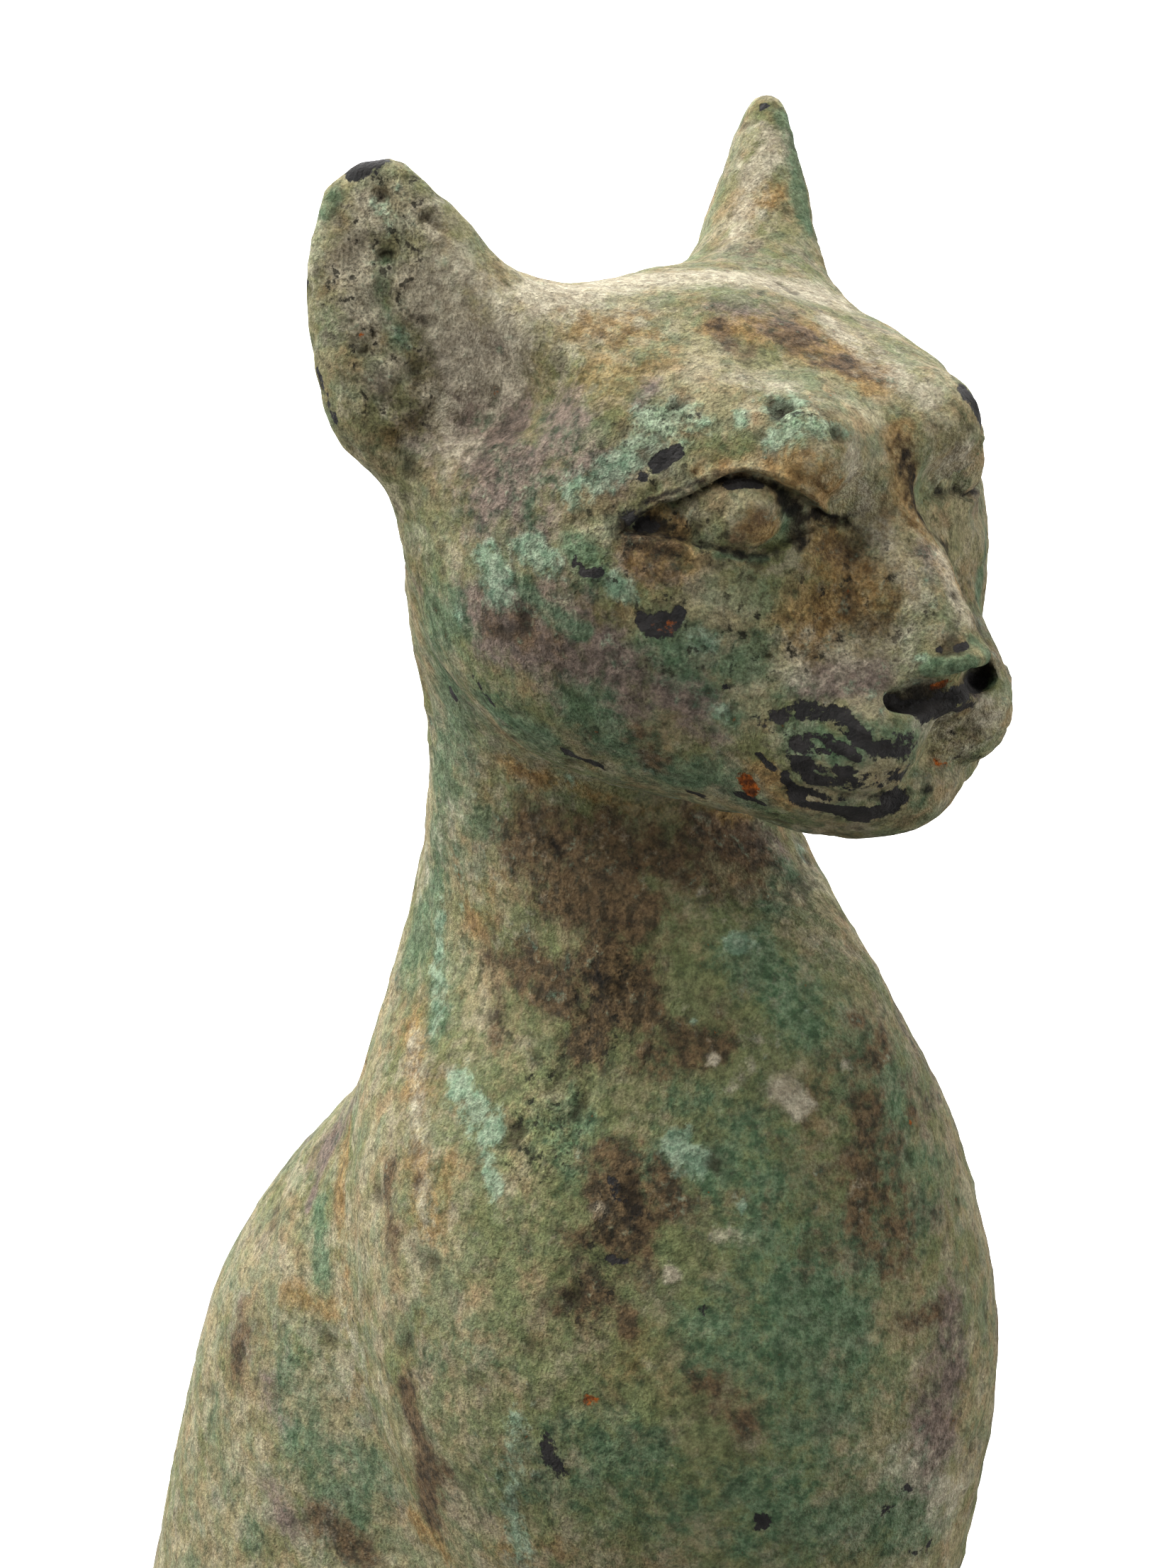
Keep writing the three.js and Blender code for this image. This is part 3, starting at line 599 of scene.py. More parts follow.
def in_metres(points):
    """Places in the part's own frame: metres, with the origin under the middle of the base."""
    x, y, z = points
    return np.stack([x, y + base_middle, z], 1) * SHARE + np.array([0.0, 0.0, BASE_THICKNESS])


# The worn skin: corrosion has lifted and eaten the cast surface by some tenths of a millimetre.
# The mesh is moved by it where it is coarse enough to hold, and the finest grain is a bump in the
# material. Sizes and heights are in metres.
LUMPS, LUMP_HEIGHT = 0.011, 0.00045
SCABS, SCAB_HEIGHT = 0.0042, 0.00064
CRUMBS, CRUMB_HEIGHT = 0.0019, 0.00066
CRUST, CRUST_HEIGHT = 0.006, 0.00026
PITS, PIT_DEPTH = 0.003, 0.00070
DIRT_AND_SHADE_FROM, DIRT_AND_SHADE_FULL = -0.00012, -0.00040
PITTED_LEAST = 0.25
CRUST_STEP = (0.52, 0.58)
PIT_STEP = (0.64, 0.76)
BOXES, BOX_SIDE = 8, 32
SEED_SHIFT = 7.3
LAYER_SHARE = 0.55
grains = np.random.default_rng(7).random((BOXES, BOX_SIDE, BOX_SIDE, BOX_SIDE))


def cloud(places, size, seed):
    """Smooth random values from 0 to 1: a box of random numbers repeated through space, with the
    eight around a place mixed by a soft step. Size is the distance between them in metres."""
    box = grains[seed % BOXES]
    at = places / size + SEED_SHIFT * seed
    low = np.floor(at).astype(int)
    t = at - low
    t = t * t * (3 - 2 * t)
    total = 0.0
    for corner in np.ndindex(2, 2, 2):
        share = np.where(corner, t, 1 - t).prod(1)
        total = total + share * box[tuple(((low + corner) % BOX_SIDE).T)]
    return total


def rough(places, size, seed, layers=3):
    """Layers of cloud, each half as wide and just over half as strong as the one before."""
    total, most = 0.0, 0.0
    for layer in range(layers):
        strength = LAYER_SHARE ** layer
        total = total + strength * cloud(places, size / 2 ** layer, seed + layer)
        most += strength
    return total / most


def soft_step(low, high, values):
    """0 below low and 1 above high, with a soft way between them."""
    t = np.clip((values - low) / (high - low), 0.0, 1.0)
    return t * t * (3 - 2 * t)


places = in_metres(points)
slope = slope_of(points)[1]
outward = (slope / np.linalg.norm(slope, axis=0)).T
faces = [tuple(polygon.vertices) for polygon in cat_mesh.polygons]
seen_form = BVHTree.FromPolygons(places.tolist(), faces)
POINTS_PER_METRE = 13200


def on_cat(x, y):
    """The place on the cat that a point of the picture shows, or None beside it."""
    scale = SENSOR / LENS / PICTURE[1]
    across = camera_right * (x - PICTURE[0] / 2) * scale
    down = camera_up * (y - PICTURE[1] / 2) * scale
    return seen_form.ray_cast(camera_place, (across - down - to_camera).normalized())[0]


def nearness(spots, radius):
    """How near each corner of the mesh is to a run of points of the picture laid on the cat: 1 on
    the run, and 0 beyond the radius, given in points of the picture. Spots are x, y, x, y."""
    laid = [on_cat(x, y) for x, y in zip(spots[::2], spots[1::2])]
    run = [np.array(place) for place in laid if place is not None]
    nearest = np.full(len(places), 1.0)
    for start, end in zip(run, run[1:] or run):
        way = end - start
        along = np.clip((places - start) @ way / max(way @ way, 1e-12), 0.0, 1.0)
        nearest = np.minimum(nearest, np.linalg.norm(places - start - along[:, None] * way, axis=1))
    return soft_step(radius / POINTS_PER_METRE, 0.0, nearest)


# Where the skin is most pitted: radius, strength, and x and y of one point after another.
PITTED = (
    (260, 0.55, 900, 700, 980, 900, 1250, 850), (150, 0.45, 700, 620, 760, 820),
    (110, 1.0, 1200, 870, 1100, 900), (70, 0.8, 1330, 1010, 1360, 1060),
    (100, 1.25, 560, 300, 520, 420, 560, 560), (60, 1.0, 925, 590, 960, 600),
    (50, 0.9, 1105, 580, 1170, 600), (90, 1.5, 780, 1540, 760, 1620), (80, 0.8, 830, 1840, 880, 1700),
    (80, 1.5, 860, 1370, 830, 1460), (50, 0.6, 860, 830), (60, 0.4, 640, 1280, 700, 1400))
pitted = np.full(len(places), PITTED_LEAST)
for radius, strength, *spots in PITTED:
    pitted = np.maximum(pitted, strength * nearness(spots, radius))
lift = SCAB_HEIGHT * (rough(places, SCABS, 3) - 0.5) * (0.5 + 1.6 * pitted)
lift += CRUMB_HEIGHT * (rough(places, CRUMBS, 5, 2) - 0.5) * (0.15 + pitted)
lift += CRUST_HEIGHT * soft_step(*CRUST_STEP, rough(places, CRUST, 2)) * (0.3 + pitted)
lift -= PIT_DEPTH * soft_step(*PIT_STEP, rough(places, PITS, 6, 2)) * np.minimum(pitted, 1.0)
# Darker where the relief is low: partly dirt settled in its hollows and partly painted shade there.
dirt = soft_step(DIRT_AND_SHADE_FROM, DIRT_AND_SHADE_FULL, lift / (0.6 + 0.8 * pitted))
lift += LUMP_HEIGHT * (rough(places, LUMPS, 1) - 0.5)
places = places + outward * lift[:, None]
places[:, 2] = np.maximum(places[:, 2], 0.0)
cat_mesh.vertices.foreach_set("co", places.ravel())
cat_mesh.polygons.foreach_set("use_smooth", np.ones(len(cat_mesh.polygons), bool))
cat_mesh.update()
cat = bpy.data.objects.new("bronze_cat", cat_mesh)
bpy.context.scene.collection.objects.link(cat)


# The patina: copper salts in several colours over the dark metal, and among the tones some painted
# light and shade, noted at their stains. Each tone has its own stains, given by the points of the
# picture where they lie, and drifts over the sides that the picture doesn't show. They are kept as
# strengths on the mesh, and the material breaks up their edges. A stain is its radius, its
# strength, and x and y of one point after another.
DRIFT = dict(ochre=0.34, plum=0.36, umber=0.34, moss=0.36, green=0.42, turquoise=0.24,
             bone=0.24, black=0.14, rust=0.06, pitch=0.0)
DRIFT_SIZE = 0.034
DRIFT_STEP = (0.40, 0.68)
DRIFT_GAIN = 2.2
DRIFT_SEEN = 0.25
STAIN_REACH = 1.5
RIDGE_RADIUS = 7
EDGE_ON = 0.15
HIDDEN_BELOW = (0.130, 0.110)
HIDDEN_PITS = 0.35
HIDDEN_PIT_SIZE = 0.03
HIDDEN_PIT_STEP = (0.45, 0.7)
STAINS = {}
STAINS["green"] = (
    (75, 0.75, 630, 860, 640, 1000, 625, 1120, 615, 1230, 590, 1330), (60, 0.7, 700, 1000, 760, 1040),
    (65, 0.9, 830, 1010, 870, 1040), (45, 0.8, 900, 1085, 1000, 1095, 1060, 1125),
    (70, 0.9, 955, 915, 1050, 940), (55, 0.6, 1100, 960, 1030, 1000),
    (17, 1.0, 740, 832, 768, 862, 822, 892), (35, 0.8, 815, 770, 855, 815),
    (75, 0.7, 1060, 1340, 1110, 1400, 1130, 1440), (40, 0.8, 1110, 1220, 1090, 1270),
    (110, 0.8, 1150, 1820, 1185, 1900, 1165, 1980), (80, 0.7, 1210, 1740, 1230, 1780),
    (110, 0.65, 1000, 2140, 1180, 2110, 1290, 2150), (60, 0.8, 940, 1625, 980, 1640),
    (50, 0.6, 1310, 1630, 1290, 1450), (90, 0.7, 430, 2020, 520, 2080), (35, 0.8, 455, 1700, 455, 1800),
    (70, 0.5, 300, 2000, 350, 2150), (18, 1.0, 1310, 942, 1370, 936, 1392, 960),
    (18, 0.8, 1375, 905, 1395, 930), (22, 1.0, 1110, 170, 1122, 230, 1140, 320),
    (24, 0.8, 470, 275, 455, 300), (22, 0.7, 545, 360, 530, 430, 565, 480), (12, 0.6, 1108, 700, 1108, 745),
    (22, 0.8, 1390, 750, 1380, 850), (20, 0.6, 1060, 640, 960, 625), (60, 0.4, 700, 1900, 620, 1920),
    (16, 0.7, 880, 650, 905, 640), (40, 0.6, 690, 1170, 640, 1150), (110, 0.62, 990, 1560, 1080, 1720),
    (90, 0.6, 1200, 1450, 1290, 1700), (130, 0.6, 1030, 1890, 1200, 1960), (100, 0.55, 700, 2100, 900, 2060),
    (110, 0.66, 420, 1950, 480, 2110), (40, 0.5, 360, 1700, 330, 1800), (70, 0.5, 780, 1560, 820, 1660),
    (40, 0.8, 610, 1250, 620, 1440), (30, 0.5, 1170, 1130, 1300, 1120),
    (55, 0.7, 1140, 1040, 1220, 1050, 1290, 1040), (40, 0.65, 1150, 1100, 1290, 1090),
    (12, 0.5, 1100, 690, 1130, 740), (9, 0.7, 1010, 782, 1080, 788))
STAINS["turquoise"] = (
    (34, 0.85, 649, 1529, 692, 1593), (22, 0.8, 686, 1639, 700, 1680), (55, 0.8, 920, 600, 965, 590),
    (30, 0.8, 880, 640, 850, 672, 815, 695), (38, 0.9, 1105, 565, 1110, 605), (22, 0.8, 1042, 592),
    (26, 0.7, 1150, 602, 1192, 606), (38, 0.85, 690, 790, 700, 830), (28, 0.7, 740, 768, 770, 790),
    (16, 0.7, 645, 870), (20, 0.8, 865, 820, 890, 842), (24, 0.6, 965, 880, 1000, 900),
    (18, 0.8, 1020, 1005), (24, 1.0, 1040, 1330), (28, 0.55, 626, 1272, 613, 1364, 617, 1437),
    (26, 0.8, 950, 1610, 985, 1640), (14, 0.9, 970, 1595), (8, 1.0, 1045, 1702), (9, 0.9, 1140, 1428),
    (9, 0.9, 980, 1440), (30, 0.6, 730, 2000, 720, 2100, 735, 2190), (14, 0.8, 800, 1100),
    (14, 0.7, 1300, 930, 1370, 950), (18, 0.7, 550, 330, 530, 290), (22, 0.6, 1130, 1200),
    (14, 0.6, 560, 470, 575, 490), (30, 0.5, 640, 1210, 650, 1270))
STAINS["umber"] = (
    (90, 0.8, 760, 1180, 900, 1200, 1040, 1215), (80, 0.95, 800, 1260, 900, 1290),
    (70, 1.0, 860, 1350, 890, 1415), (60, 0.85, 700, 1350, 790, 1395), (50, 0.95, 850, 1440, 825, 1480),
    (45, 0.7, 705, 1420, 700, 1470), (55, 0.7, 925, 1490, 1000, 1475),
    (65, 0.6, 1180, 1510, 1230, 1460, 1150, 1550), (58, 0.95, 870, 1650, 885, 1740),
    (30, 0.6, 905, 1620, 950, 1700), (28, 0.7, 820, 1750), (45, 0.6, 800, 1850, 840, 1830),
    (42, 0.95, 575, 1970, 605, 2060, 605, 2140), (26, 0.8, 628, 2070), (32, 0.7, 550, 1650, 555, 1770),
    (18, 0.7, 590, 1665), (50, 0.6, 345, 1860, 330, 1930), (48, 0.8, 450, 2150, 510, 2190),
    (48, 0.7, 1120, 480, 1200, 520), (24, 0.7, 1010, 460, 1032, 490), (80, 0.8, 1230, 1640, 1240, 1720),
    (55, 0.75, 1215, 1560, 1260, 1780), (22, 1.0, 885, 1860, 892, 1885), (28, 0.8, 1285, 1575),
    (60, 0.6, 1035, 1990, 1000, 1960), (36, 0.6, 1260, 1870, 1320, 1850), (26, 0.6, 575, 560, 600, 548),
    (22, 0.55, 605, 430, 580, 445), (28, 0.6, 480, 370, 500, 340), (50, 0.5, 700, 880, 780, 905),
    (40, 0.5, 830, 1030), (38, 0.8, 905, 1035, 925, 1070), (26, 0.7, 1070, 735, 1040, 760),
    (34, 0.45, 1200, 850, 1230, 880), (35, 0.5, 1210, 760, 1170, 780), (25, 0.6, 890, 760, 950, 770))
STAINS["plum"] = (
    (95, 0.95, 660, 540, 690, 640, 720, 700), (70, 0.75, 790, 590, 830, 650),
    (90, 1.0, 700, 880, 800, 915, 880, 970), (65, 0.8, 900, 960, 970, 990), (70, 0.5, 1060, 440, 1180, 500),
    (50, 0.5, 560, 560, 590, 610), (40, 0.6, 1000, 1030, 940, 1010), (32, 0.9, 1140, 965, 1230, 950),
    (26, 0.9, 1370, 975), (75, 0.95, 1340, 1870, 1320, 2000, 1300, 2080), (45, 0.7, 500, 1560, 440, 1640),
    (18, 0.9, 489, 1584, 457, 1639, 434, 1708), (50, 0.6, 380, 1950, 400, 2000),
    (50, 0.7, 1000, 1185, 1090, 1200), (32, 0.8, 920, 545, 900, 570), (30, 0.4, 1300, 770, 1340, 850),
    (45, 0.6, 410, 2150, 380, 2100), (30, 0.6, 340, 1830, 320, 1880), (30, 0.4, 880, 800, 950, 820),
    (50, 0.5, 700, 1350), (40, 0.5, 880, 1700))
# Black is bare dark metal, except the stains in the nostril and at the outer corner of the eye, which are
# painted shade in those hollows.
STAINS["black"] = (
    (22, 1.0, 1127, 1062, 1150, 1100), (24, 1.0, 1130, 1120, 1175, 1138, 1215, 1150, 1262, 1130),
    (18, 0.8, 1180, 1035, 1222, 1056, 1250, 1052), (16, 0.85, 1190, 1092, 1262, 1092),
    (20, 0.7, 1100, 1012, 1150, 1002, 1190, 1012), (14, 0.9, 1194, 1012, 1225, 1048),
    (18, 0.95, 1248, 990, 1277, 1000, 1318, 1006, 1351, 1000, 1380, 962), (8, 0.8, 1024, 971),
    (9, 1.0, 1107, 1091), (38, 0.62, 1130, 1045, 1200, 1055, 1270, 1055), (38, 0.62, 1150, 1095, 1260, 1090),
    (24, 0.5, 1080, 1020, 1120, 1040), (22, 0.9, 1300, 1004, 1345, 985, 1375, 965), (8, 1.0, 1327, 916),
    (8, 1.0, 1346, 914, 1362, 910), (15, 1.0, 955, 636, 925, 655), (12, 0.9, 905, 672),
    (20, 1.0, 1362, 555, 1382, 590), (22, 1.0, 500, 242, 530, 228), (9, 0.9, 434, 400, 436, 470),
    (9, 0.9, 450, 520, 475, 590), (13, 1.0, 1078, 148, 1112, 158), (10, 1.0, 638, 972, 645, 985),
    (8, 0.9, 672, 955, 700, 995), (10, 1.0, 702, 1028, 712, 1036), (11, 1.0, 795, 1060, 845, 1080),
    (12, 1.0, 975, 1118, 990, 1122), (11, 1.0, 1108, 1100, 1120, 1108), (13, 0.9, 1048, 1118, 1075, 1132),
    (14, 1.0, 906, 876, 922, 888, 944, 888, 957, 864), (16, 1.0, 932, 872, 944, 884),
    (10, 0.9, 1070, 1062, 1090, 1082), (9, 1.0, 812, 790, 822, 810, 848, 806),
    (8, 1.0, 858, 1776, 905, 1772), (18, 1.0, 1075, 2148), (30, 0.65, 770, 2040, 785, 2070),
    (10, 0.8, 1245, 2130, 1280, 2100), (14, 0.8, 503, 1865), (13, 1.0, 1030, 682, 1068, 684),
    (18, 0.75, 890, 732, 915, 742), (12, 0.5, 1060, 1015, 1090, 1000), (8, 0.6, 835, 1890),
    (14, 0.6, 862, 1660, 880, 1700), (10, 0.8, 990, 1845), (10, 0.7, 1310, 2180, 1270, 2190),
    (10, 0.4, 1100, 1995))
STAINS["ochre"] = (
    (75, 0.45, 830, 460, 920, 490, 840, 540), (60, 1.0, 1140, 480, 1215, 525),
    (65, 0.85, 1190, 780, 1230, 840, 1140, 890), (36, 0.85, 1270, 620, 1290, 720, 1350, 830),
    (20, 0.8, 790, 432), (45, 0.85, 1000, 640, 1100, 650, 1170, 690), (35, 0.8, 890, 790, 950, 790),
    (28, 0.9, 1060, 735, 1080, 750), (24, 0.8, 955, 745, 930, 730),
    (40, 0.75, 583, 1458, 592, 1560, 606, 1730), (40, 0.6, 612, 1710, 640, 1640),
    (32, 0.6, 492, 1600, 490, 1800), (30, 0.7, 1100, 1130, 1080, 1090),
    (22, 0.7, 720, 1080, 790, 1105, 880, 1135, 1050, 1158), (26, 0.7, 1065, 290, 1090, 270),
    (45, 0.8, 620, 2180, 590, 2150), (80, 0.5, 1010, 1990, 900, 1890), (40, 0.5, 660, 570, 690, 610),
    (40, 0.7, 1010, 470, 1100, 460), (30, 0.5, 550, 620, 580, 600), (50, 0.5, 670, 1300, 700, 1250),
    (40, 0.6, 790, 2170, 700, 2200), (36, 0.5, 400, 1800, 470, 1850))
STAINS["moss"] = (
    (420, 0.85, 900, 1500, 1000, 1750, 950, 2050), (160, 0.5, 1250, 1600, 1150, 1400),
    (90, 0.85, 930, 1370, 1010, 1400), (90, 0.6, 1090, 1740, 1150, 1700), (80, 0.8, 860, 1910, 890, 1970),
    (90, 0.9, 950, 2130, 1050, 2080), (80, 0.6, 1250, 1780, 1230, 1850), (60, 0.5, 1170, 1400, 1230, 1380),
    (80, 0.6, 1030, 1580, 1080, 1650), (60, 0.5, 700, 2080, 800, 2130), (42, 0.8, 690, 960, 720, 1010),
    (30, 0.7, 820, 1090, 880, 1115), (50, 0.5, 600, 330, 640, 350), (24, 0.6, 960, 630, 1060, 630),
    (30, 0.6, 1180, 1170, 1100, 1150), (24, 0.5, 1250, 860, 1230, 880))
# Bone is pale dust; its stains over the top of the head and inside the ear are also painted light, lighter
# where the light falls most.
STAINS["bone"] = (
    (26, 1.0, 1105, 1535, 1130, 1560), (13, 1.0, 1192, 1500), (10, 0.9, 1008, 1498), (16, 0.9, 948, 1800),
    (34, 0.4, 583, 1458, 592, 1560, 606, 1730), (60, 0.85, 760, 420, 900, 395, 1050, 392, 1170, 420),
    (60, 0.6, 700, 440, 740, 500, 700, 560), (40, 0.75, 1040, 330, 1060, 250, 1090, 190),
    (46, 0.75, 600, 300, 640, 370, 700, 420), (40, 0.85, 520, 300, 500, 380, 520, 460),
    (60, 0.95, 600, 400, 640, 470, 690, 540), (46, 0.7, 610, 560, 650, 640), (34, 1.0, 1350, 645),
    (30, 0.5, 560, 520, 540, 580), (44, 0.6, 1180, 460, 1240, 520, 1300, 560),
    (34, 0.5, 1000, 530, 1100, 545), (26, 0.6, 1200, 640, 1230, 720, 1290, 840),
    (30, 0.65, 1330, 790, 1365, 870), (50, 0.65, 1310, 1000, 1350, 1040, 1390, 1010),
    (60, 0.55, 1130, 930, 1240, 905), (40, 0.6, 960, 570, 930, 620), (34, 0.6, 1330, 640, 1350, 660),
    (12, 0.4, 1030, 1540, 1060, 1500), (20, 0.5, 1060, 1755, 1010, 1745), (50, 0.4, 640, 1150, 590, 1250),
    (26, 0.5, 1380, 1080), (60, 0.4, 500, 1950, 500, 1880), (75, 0.52, 1280, 2050, 1340, 2110),
    (40, 0.3, 900, 440, 800, 500))
# The darkest tone is painted shade with some grime: it darkens the creases round the eyes, beside the bridge,
# the nostril, the mouth, the ear's edge and folds of the neck and chest.
STAINS["pitch"] = (
    (24, 0.85, 872, 738, 900, 730, 930, 745), (14, 0.85, 1020, 676, 1090, 686),
    (18, 0.75, 1105, 700, 1135, 735, 1125, 765), (14, 0.85, 1150, 722, 1195, 740),
    (9, 0.75, 900, 712, 960, 690, 1010, 668), (9, 0.6, 950, 755, 1000, 770, 1060, 786, 1100, 775),
    (26, 0.8, 1276, 632, 1284, 685, 1302, 735), (16, 0.6, 1305, 745, 1335, 775),
    (13, 0.8, 1318, 690, 1372, 692), (10, 0.6, 1322, 600, 1370, 605),
    (24, 1.0, 1258, 992, 1310, 975, 1385, 950), (10, 0.7, 1190, 1120, 1250, 1122, 1310, 1112),
    (8, 0.8, 426, 300, 421, 400, 430, 500, 470, 600), (14, 0.6, 535, 540, 560, 570),
    (9, 0.55, 495, 450, 500, 480), (10, 0.45, 575, 440, 600, 450), (26, 0.5, 840, 1365, 880, 1400),
    (20, 0.5, 700, 1400, 715, 1450), (26, 0.6, 880, 1680, 900, 1730), (24, 0.4, 770, 1190, 800, 1200))
STAINS["rust"] = (
    (17, 1.0, 1052, 1102, 1060, 1112), (9, 0.7, 1315, 968, 1338, 962), (10, 0.48, 921, 886, 944, 880),
    (14, 0.7, 835, 1975), (7, 1.0, 512, 476), (12, 0.5, 1285, 1582), (6, 0.9, 1120, 882),
    (9, 0.7, 1320, 1075, 1340, 1078), (8, 0.3, 880, 2070))

# Light lines across the dark whisker pad.
RIDGES = (
    (1115, 1025, 1173, 1030, 1215, 1060, 1275, 1066), (1118, 1060, 1173, 1072, 1262, 1078),
    (1125, 1100, 1173, 1112, 1250, 1112), (1150, 1045, 1200, 1075), (1150, 1088, 1210, 1094, 1280, 1092),
    (1140, 1126, 1190, 1134, 1240, 1132))

facing = outward @ np.array(to_camera)
hidden = np.maximum(soft_step(EDGE_ON, -EDGE_ON, facing), soft_step(*HIDDEN_BELOW, places[:, 2]))
strengths = {}
for number, tone in enumerate(DRIFT):
    drift = soft_step(*DRIFT_STEP, rough(places, DRIFT_SIZE, 10 + number)) * DRIFT[tone] * DRIFT_GAIN
    strength = drift * (DRIFT_SEEN + (1 - DRIFT_SEEN) * hidden)
    for radius, most, *spots in STAINS[tone]:
        strength = np.maximum(strength, most * nearness(spots, radius * STAIN_REACH))
    strengths[tone] = strength
for ridge in RIDGES:
    strengths["black"] *= 1 - nearness(ridge, RIDGE_RADIUS)
strengths["dirt"] = dirt
hidden_pits = HIDDEN_PITS * hidden * soft_step(*HIDDEN_PIT_STEP, rough(places, HIDDEN_PIT_SIZE, 30))
strengths["pitted"] = np.minimum(pitted, 1.0) + hidden_pits
for number in range(0, len(strengths), 3):
    group = list(strengths)[number:number + 3]
    layer = cat_mesh.color_attributes.new("_".join(group), "FLOAT_COLOR", "POINT")
    colours = np.ones((len(places), 4), np.float32)
    for channel, tone in enumerate(group):
        colours[:, channel] = strengths[tone]
    layer.data.foreach_set("color", colours.ravel())

patina = bpy.data.materials.new("weathered_bronze")
patina.use_nodes = True
skin = patina.node_tree
shader = skin.nodes["Principled BSDF"]


def feed(tree, socket, source):
    """Puts a number, a colour or another node's output into a socket."""
    if isinstance(source, bpy.types.NodeSocket):
        tree.links.new(source, socket)
    else:
        socket.default_value = source


def added(tree, kind, sockets, **settings):
    """The outputs of a new node with these settings and these sources in its sockets."""
    node = tree.nodes.new(kind)
    for name, value in settings.items():
        setattr(node, name, value)
    for socket, source in sockets.items():
        feed(tree, node.inputs[socket], source)
    return node.outputs


def maths(operation, *sources, clamp=False):
    """The output of a math node."""
    return added(skin, "ShaderNodeMath", dict(enumerate(sources)), operation=operation, use_clamp=clamp)[0]


def mixed(part, first, second, way="MIX"):
    """Two colours mixed by a part from 0 to 1."""
    return added(skin, "ShaderNodeMix", {0: part, 6: first, 7: second}, data_type="RGBA", blend_type=way)[2]


def between(source, low, high):
    """A soft step from 0 at low to 1 at high."""
    return added(skin, "ShaderNodeMapRange", {0: source, 1: low, 2: high}, interpolation_type="SMOOTHSTEP")[0]


def tint(red, green, blue):
    """A screen colour from 0 to 255 as the light it stands for."""
    return tuple((level / 255) ** 2.2 for level in (red, green, blue)) + (1.0,)


where = added(skin, "ShaderNodeTexCoord", {})["Object"]


def noise(size, detail, roughness, seed=0.0):
    """Three even random patterns of one grain size in metres, each from 0 to 1."""
    shift = (seed, seed * 0.7, seed * 1.3)
    place = added(skin, "ShaderNodeVectorMath", {0: where, 1: shift}, operation="ADD")[0]
    grid = {"Vector": place, "Scale": 1 / size, "Detail": detail, "Roughness": roughness}
    colour = added(skin, "ShaderNodeTexNoise", grid)["Color"]
    return tuple(added(skin, "ShaderNodeSeparateColor", {0: colour}))


def painted(names):
    """The strengths kept on the mesh under three names."""
    colour = added(skin, "ShaderNodeAttribute", {}, attribute_name="_".join(names))["Color"]
    return dict(zip(names, added(skin, "ShaderNodeSeparateColor", {0: colour})))


kept = {}
for number in range(0, len(strengths), 3):
    kept.update(painted(list(strengths)[number:number + 3]))

wide = noise(0.0120, 7, 0.60)
middle = noise(0.0040, 7, 0.62, 1.0)
small = noise(0.0013, 6, 0.62, 2.0)
grain = noise(0.00034, 4, 0.65, 3.0)


def about_zero(patterns, shares):
    """Patterns from 0 to 1 added in shares, so that the sum lies about zero."""
    total = 0.0
    for pattern, share in zip(patterns, shares):
        total = maths("MULTIPLY_ADD", maths("SUBTRACT", pattern, 0.5), share, total)
    return total


def medley(channel, *shares):
    """The wide, middle, small and fine patterns of one channel added in shares, about zero."""
    return about_zero((wide[channel], middle[channel], small[channel], grain[channel]), shares)


def patch(tone, pattern, soft):
    """Where a tone lies: its strength on the mesh plus a pattern about zero, over a threshold."""
    return between(maths("ADD", kept[tone], pattern), 0.5 - soft, 0.5 + soft)


# The ground under the stains: khaki and olive, freckled with tan, cream, grey green and dark olive.
# A freckle is its pattern, the step that cuts it out, its colour and how much of it covers.
colour = mixed(between(wide[0], 0.38, 0.62), tint(160, 150, 116), tint(116, 119, 80))
FRECKLES = (
    (middle[0], 0.44, 0.64, (162, 134, 102), 0.65),
    (middle[1], 0.46, 0.62, (188, 178, 150), 0.65),
    (middle[2], 0.46, 0.62, (98, 114, 90), 0.60),
    (small[2], 0.50, 0.66, (80, 78, 56), 0.60))
for pattern, low, high, tone, cover in FRECKLES:
    colour = mixed(maths("MULTIPLY", between(pattern, low, high), cover), colour, tint(*tone))

# A layer is its tone, the pattern that frays it, how soft its edge is, its light and dark colour
# and how much of it covers.
LAYERS = (
    ("ochre", medley(0, 1.6, 1.6, 0.9, 0.3), 0.32, (174, 142, 94), (126, 94, 54), 0.84),
    ("plum", medley(1, 1.6, 1.6, 0.9, 0.3), 0.32, (138, 120, 112), (86, 75, 73), 0.88),
    ("moss", medley(2, 1.6, 1.6, 0.9, 0.3), 0.34, (116, 124, 82), (76, 88, 54), 0.78),
    ("green", medley(0, 1.2, 1.7, 1.0, 0.3), 0.32, (108, 134, 106), (66, 95, 70), 0.78),
    ("umber", medley(1, 1.2, 1.8, 1.0, 0.3), 0.28, (110, 88, 64), (60, 50, 38), 0.92),
    ("bone", medley(2, 0.8, 1.4, 1.0, 0.3), 0.32, (204, 194, 172), (168, 156, 136), 0.82),
    ("turquoise", medley(1, 0.6, 1.5, 1.3, 0.4), 0.24, (158, 178, 154), (112, 140, 116), 0.76),
    # The darkest layer is painted shade with some grime in the hollows.
    ("pitch", medley(0, 0.6, 1.2, 1.4, 0.5), 0.34, (44, 36, 26), (20, 16, 12), 0.95))
masks = {}
for tone, pattern, soft, light, dark, cover in LAYERS:
    masks[tone] = patch(tone, pattern, soft)
    shade = mixed(between(small[0], 0.36, 0.64), tint(*light), tint(*dark))
    colour = mixed(maths("MULTIPLY", masks[tone], cover), colour, shade)

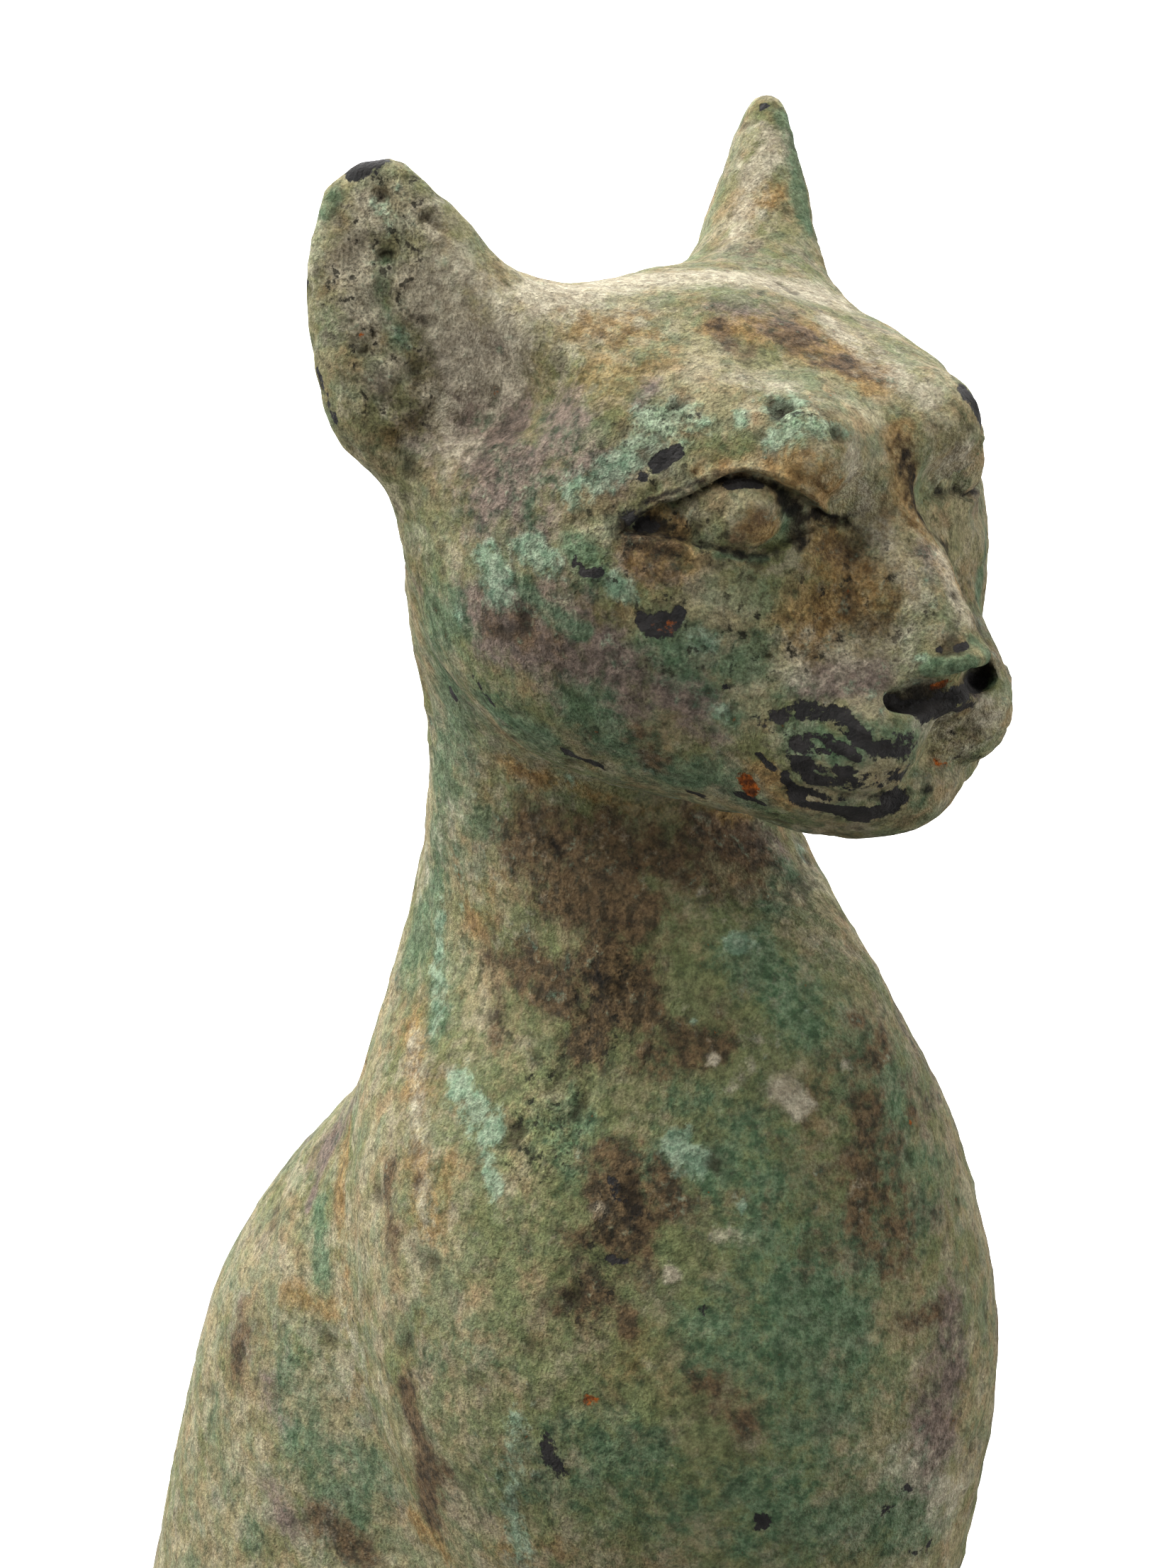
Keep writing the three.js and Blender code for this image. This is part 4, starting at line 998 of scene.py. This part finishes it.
# Painted light and shade on the fine relief: the crests of the crust are painted light and its
# hollows painted dark, as light and shade would fall on them, so the colour follows the same grain
# as the relief. Small pits are nearly black.
painted_relief_shading = maths("MULTIPLY_ADD", kept["pitted"], 0.8, 0.40, clamp=True)
for pattern, dark, light in ((grain[0], 0.46, 1.50), (small[1], 0.66, 1.36), (middle[2], 0.80, 1.18)):
    painted_hollow_shade = (dark, dark, dark * 0.97, 1)
    painted_crest_light = (light, light, light * 0.98, 1)
    shade = mixed(between(pattern, 0.30, 0.70), painted_hollow_shade, painted_crest_light)
    colour = mixed(painted_relief_shading, colour, shade, "MULTIPLY")
deep = maths("ADD", kept["pitted"], maths("MULTIPLY", wide[2], 0.6))
pinhole = maths("MULTIPLY", between(small[2], 0.59, 0.65), between(deep, 0.50, 0.90))
colour = mixed(maths("MULTIPLY", pinhole, 0.85), colour, tint(40, 38, 28))
# The relief's low parts darkened: dirt and painted shade in the hollows.
colour = mixed(maths("MULTIPLY", kept["dirt"], 0.70), colour, tint(48, 40, 28))
masks["black"] = patch("black", medley(2, 0.0, 0.7, 1.2, 0.5), 0.06)
masks["rust"] = patch("rust", medley(0, 0.0, 0.8, 1.6, 0.4), 0.14)
# Bare dark metal where the black stains lie; in the nostril and the eye's corner this dark is painted shade.
dark_metal_and_shade = mixed(between(middle[0], 0.35, 0.65), tint(32, 31, 30), tint(52, 49, 47))
colour = mixed(masks["black"], colour, dark_metal_and_shade)
rust = mixed(between(small[1], 0.4, 0.6), tint(188, 100, 36), tint(92, 52, 24))
colour = mixed(masks["rust"], colour, rust)
feed(skin, shader.inputs["Base Color"], colour)
feed(skin, shader.inputs["Roughness"], maths("MULTIPLY_ADD", masks["black"], -0.25, 0.90))
shader.inputs["Specular IOR Level"].default_value = 0.28

# The finest relief, in millimetres: grain, pits, the turquoise crust and the step of the chips.
height = about_zero((middle[2], small[1], grain[0]), (1.5, 1.6, 0.55))
for mask, rise in ((pinhole, -0.30), (masks["turquoise"], 0.10), (masks["black"], -0.34)):
    height = maths("MULTIPLY_ADD", mask, rise, height)
height = maths("MULTIPLY", height, maths("MULTIPLY_ADD", kept["pitted"], 0.8, 0.56, clamp=True))
bump = {"Strength": 1.0, "Distance": 0.001, "Height": height}
feed(skin, shader.inputs["Normal"], added(skin, "ShaderNodeBump", bump)["Normal"])

cat_mesh.materials.append(patina)
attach(cat, "root")
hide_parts("cat_figure")


# The studio: a wide white floor that fills the picture behind the cat and glows a little, as a
# light table does. Large soft lights behind the cat, above it and at both sides make its edges
# light and leave the side turned to the viewer dim. A smaller one high in front draws out its
# relief, two low ones lift its underside, and the surround is faint, lighter behind the cat.
FLOOR_SIZE = 40
FLOOR_GLOW = 0.80
bpy.ops.mesh.primitive_plane_add(size=FLOOR_SIZE)
floor = bpy.context.object
floor.name = "floor"
paper = bpy.data.materials.new("white_paper")
paper.use_nodes = True
paper_shader = paper.node_tree.nodes["Principled BSDF"]
WHITE = (1, 1, 1, 1)
PAPER = {"Base Color": (0.85, 0.85, 0.85, 1), "Roughness": 0.9, "Emission Color": WHITE,
         "Emission Strength": FLOOR_GLOW}
for name, value in PAPER.items():
    paper_shader.inputs[name].default_value = value
floor.data.materials.append(paper)
floor.visible_diffuse = False
floor.visible_glossy = False

# Each light is its place, its side in metres and its power in watts, and faces the cat's middle.
LIT_MIDDLE = Vector((0, 0, 0.22))
LIGHTS = (
    ("behind", (0.95, 0.99, 0.83), 1.3, 43),
    ("left", (-0.54, 1.38, 0.47), 0.9, 14),
    ("right", (1.17, -0.91, 0.47), 0.9, 9),
    ("above", (-0.26, 0.44, 1.63), 0.7, 27),
    ("front", (-0.95, -0.02, 1.38), 0.22, 8.5),
    ("low_left", (-1.20, 0.475, 0.24), 0.5, 8),
    ("low_right", (0.515, -1.18, 0.24), 0.5, 6.5))
for name, place, size, power in LIGHTS:
    data = bpy.data.lights.new(name, "AREA")
    data.shape = "SQUARE"
    data.size = size
    data.energy = power
    light = bpy.data.objects.new(name, data)
    light.location = place
    light.rotation_euler = (Vector(place) - LIT_MIDDLE).to_track_quat("Z", "Y").to_euler()
    light.visible_camera = False
    bpy.context.scene.collection.objects.link(light)

# The surround grows from dim to bright along one way.
SURROUND_FROM = (0.343, 0.792, 0.505)
SURROUND_DIM = 0.23
SURROUND_BRIGHT = 0.50
SURROUND_SPAN = (-0.35, 0.95)
world = bpy.data.worlds.new("surround")
world.use_nodes = True
sky = world.node_tree
ways = {0: added(sky, "ShaderNodeTexCoord", {})["Generated"], 1: SURROUND_FROM}
towards = added(sky, "ShaderNodeVectorMath", ways, operation="DOT_PRODUCT")["Value"]
rise = {0: towards, 1: SURROUND_SPAN[0], 2: SURROUND_SPAN[1], 3: SURROUND_DIM, 4: SURROUND_BRIGHT}
glow = sky.nodes["Background"]
feed(sky, glow.inputs["Strength"], added(sky, "ShaderNodeMapRange", rise)[0])
feed(sky, glow.inputs["Color"], WHITE)
bpy.context.scene.world = world
bpy.context.scene.view_settings.view_transform = "Standard"
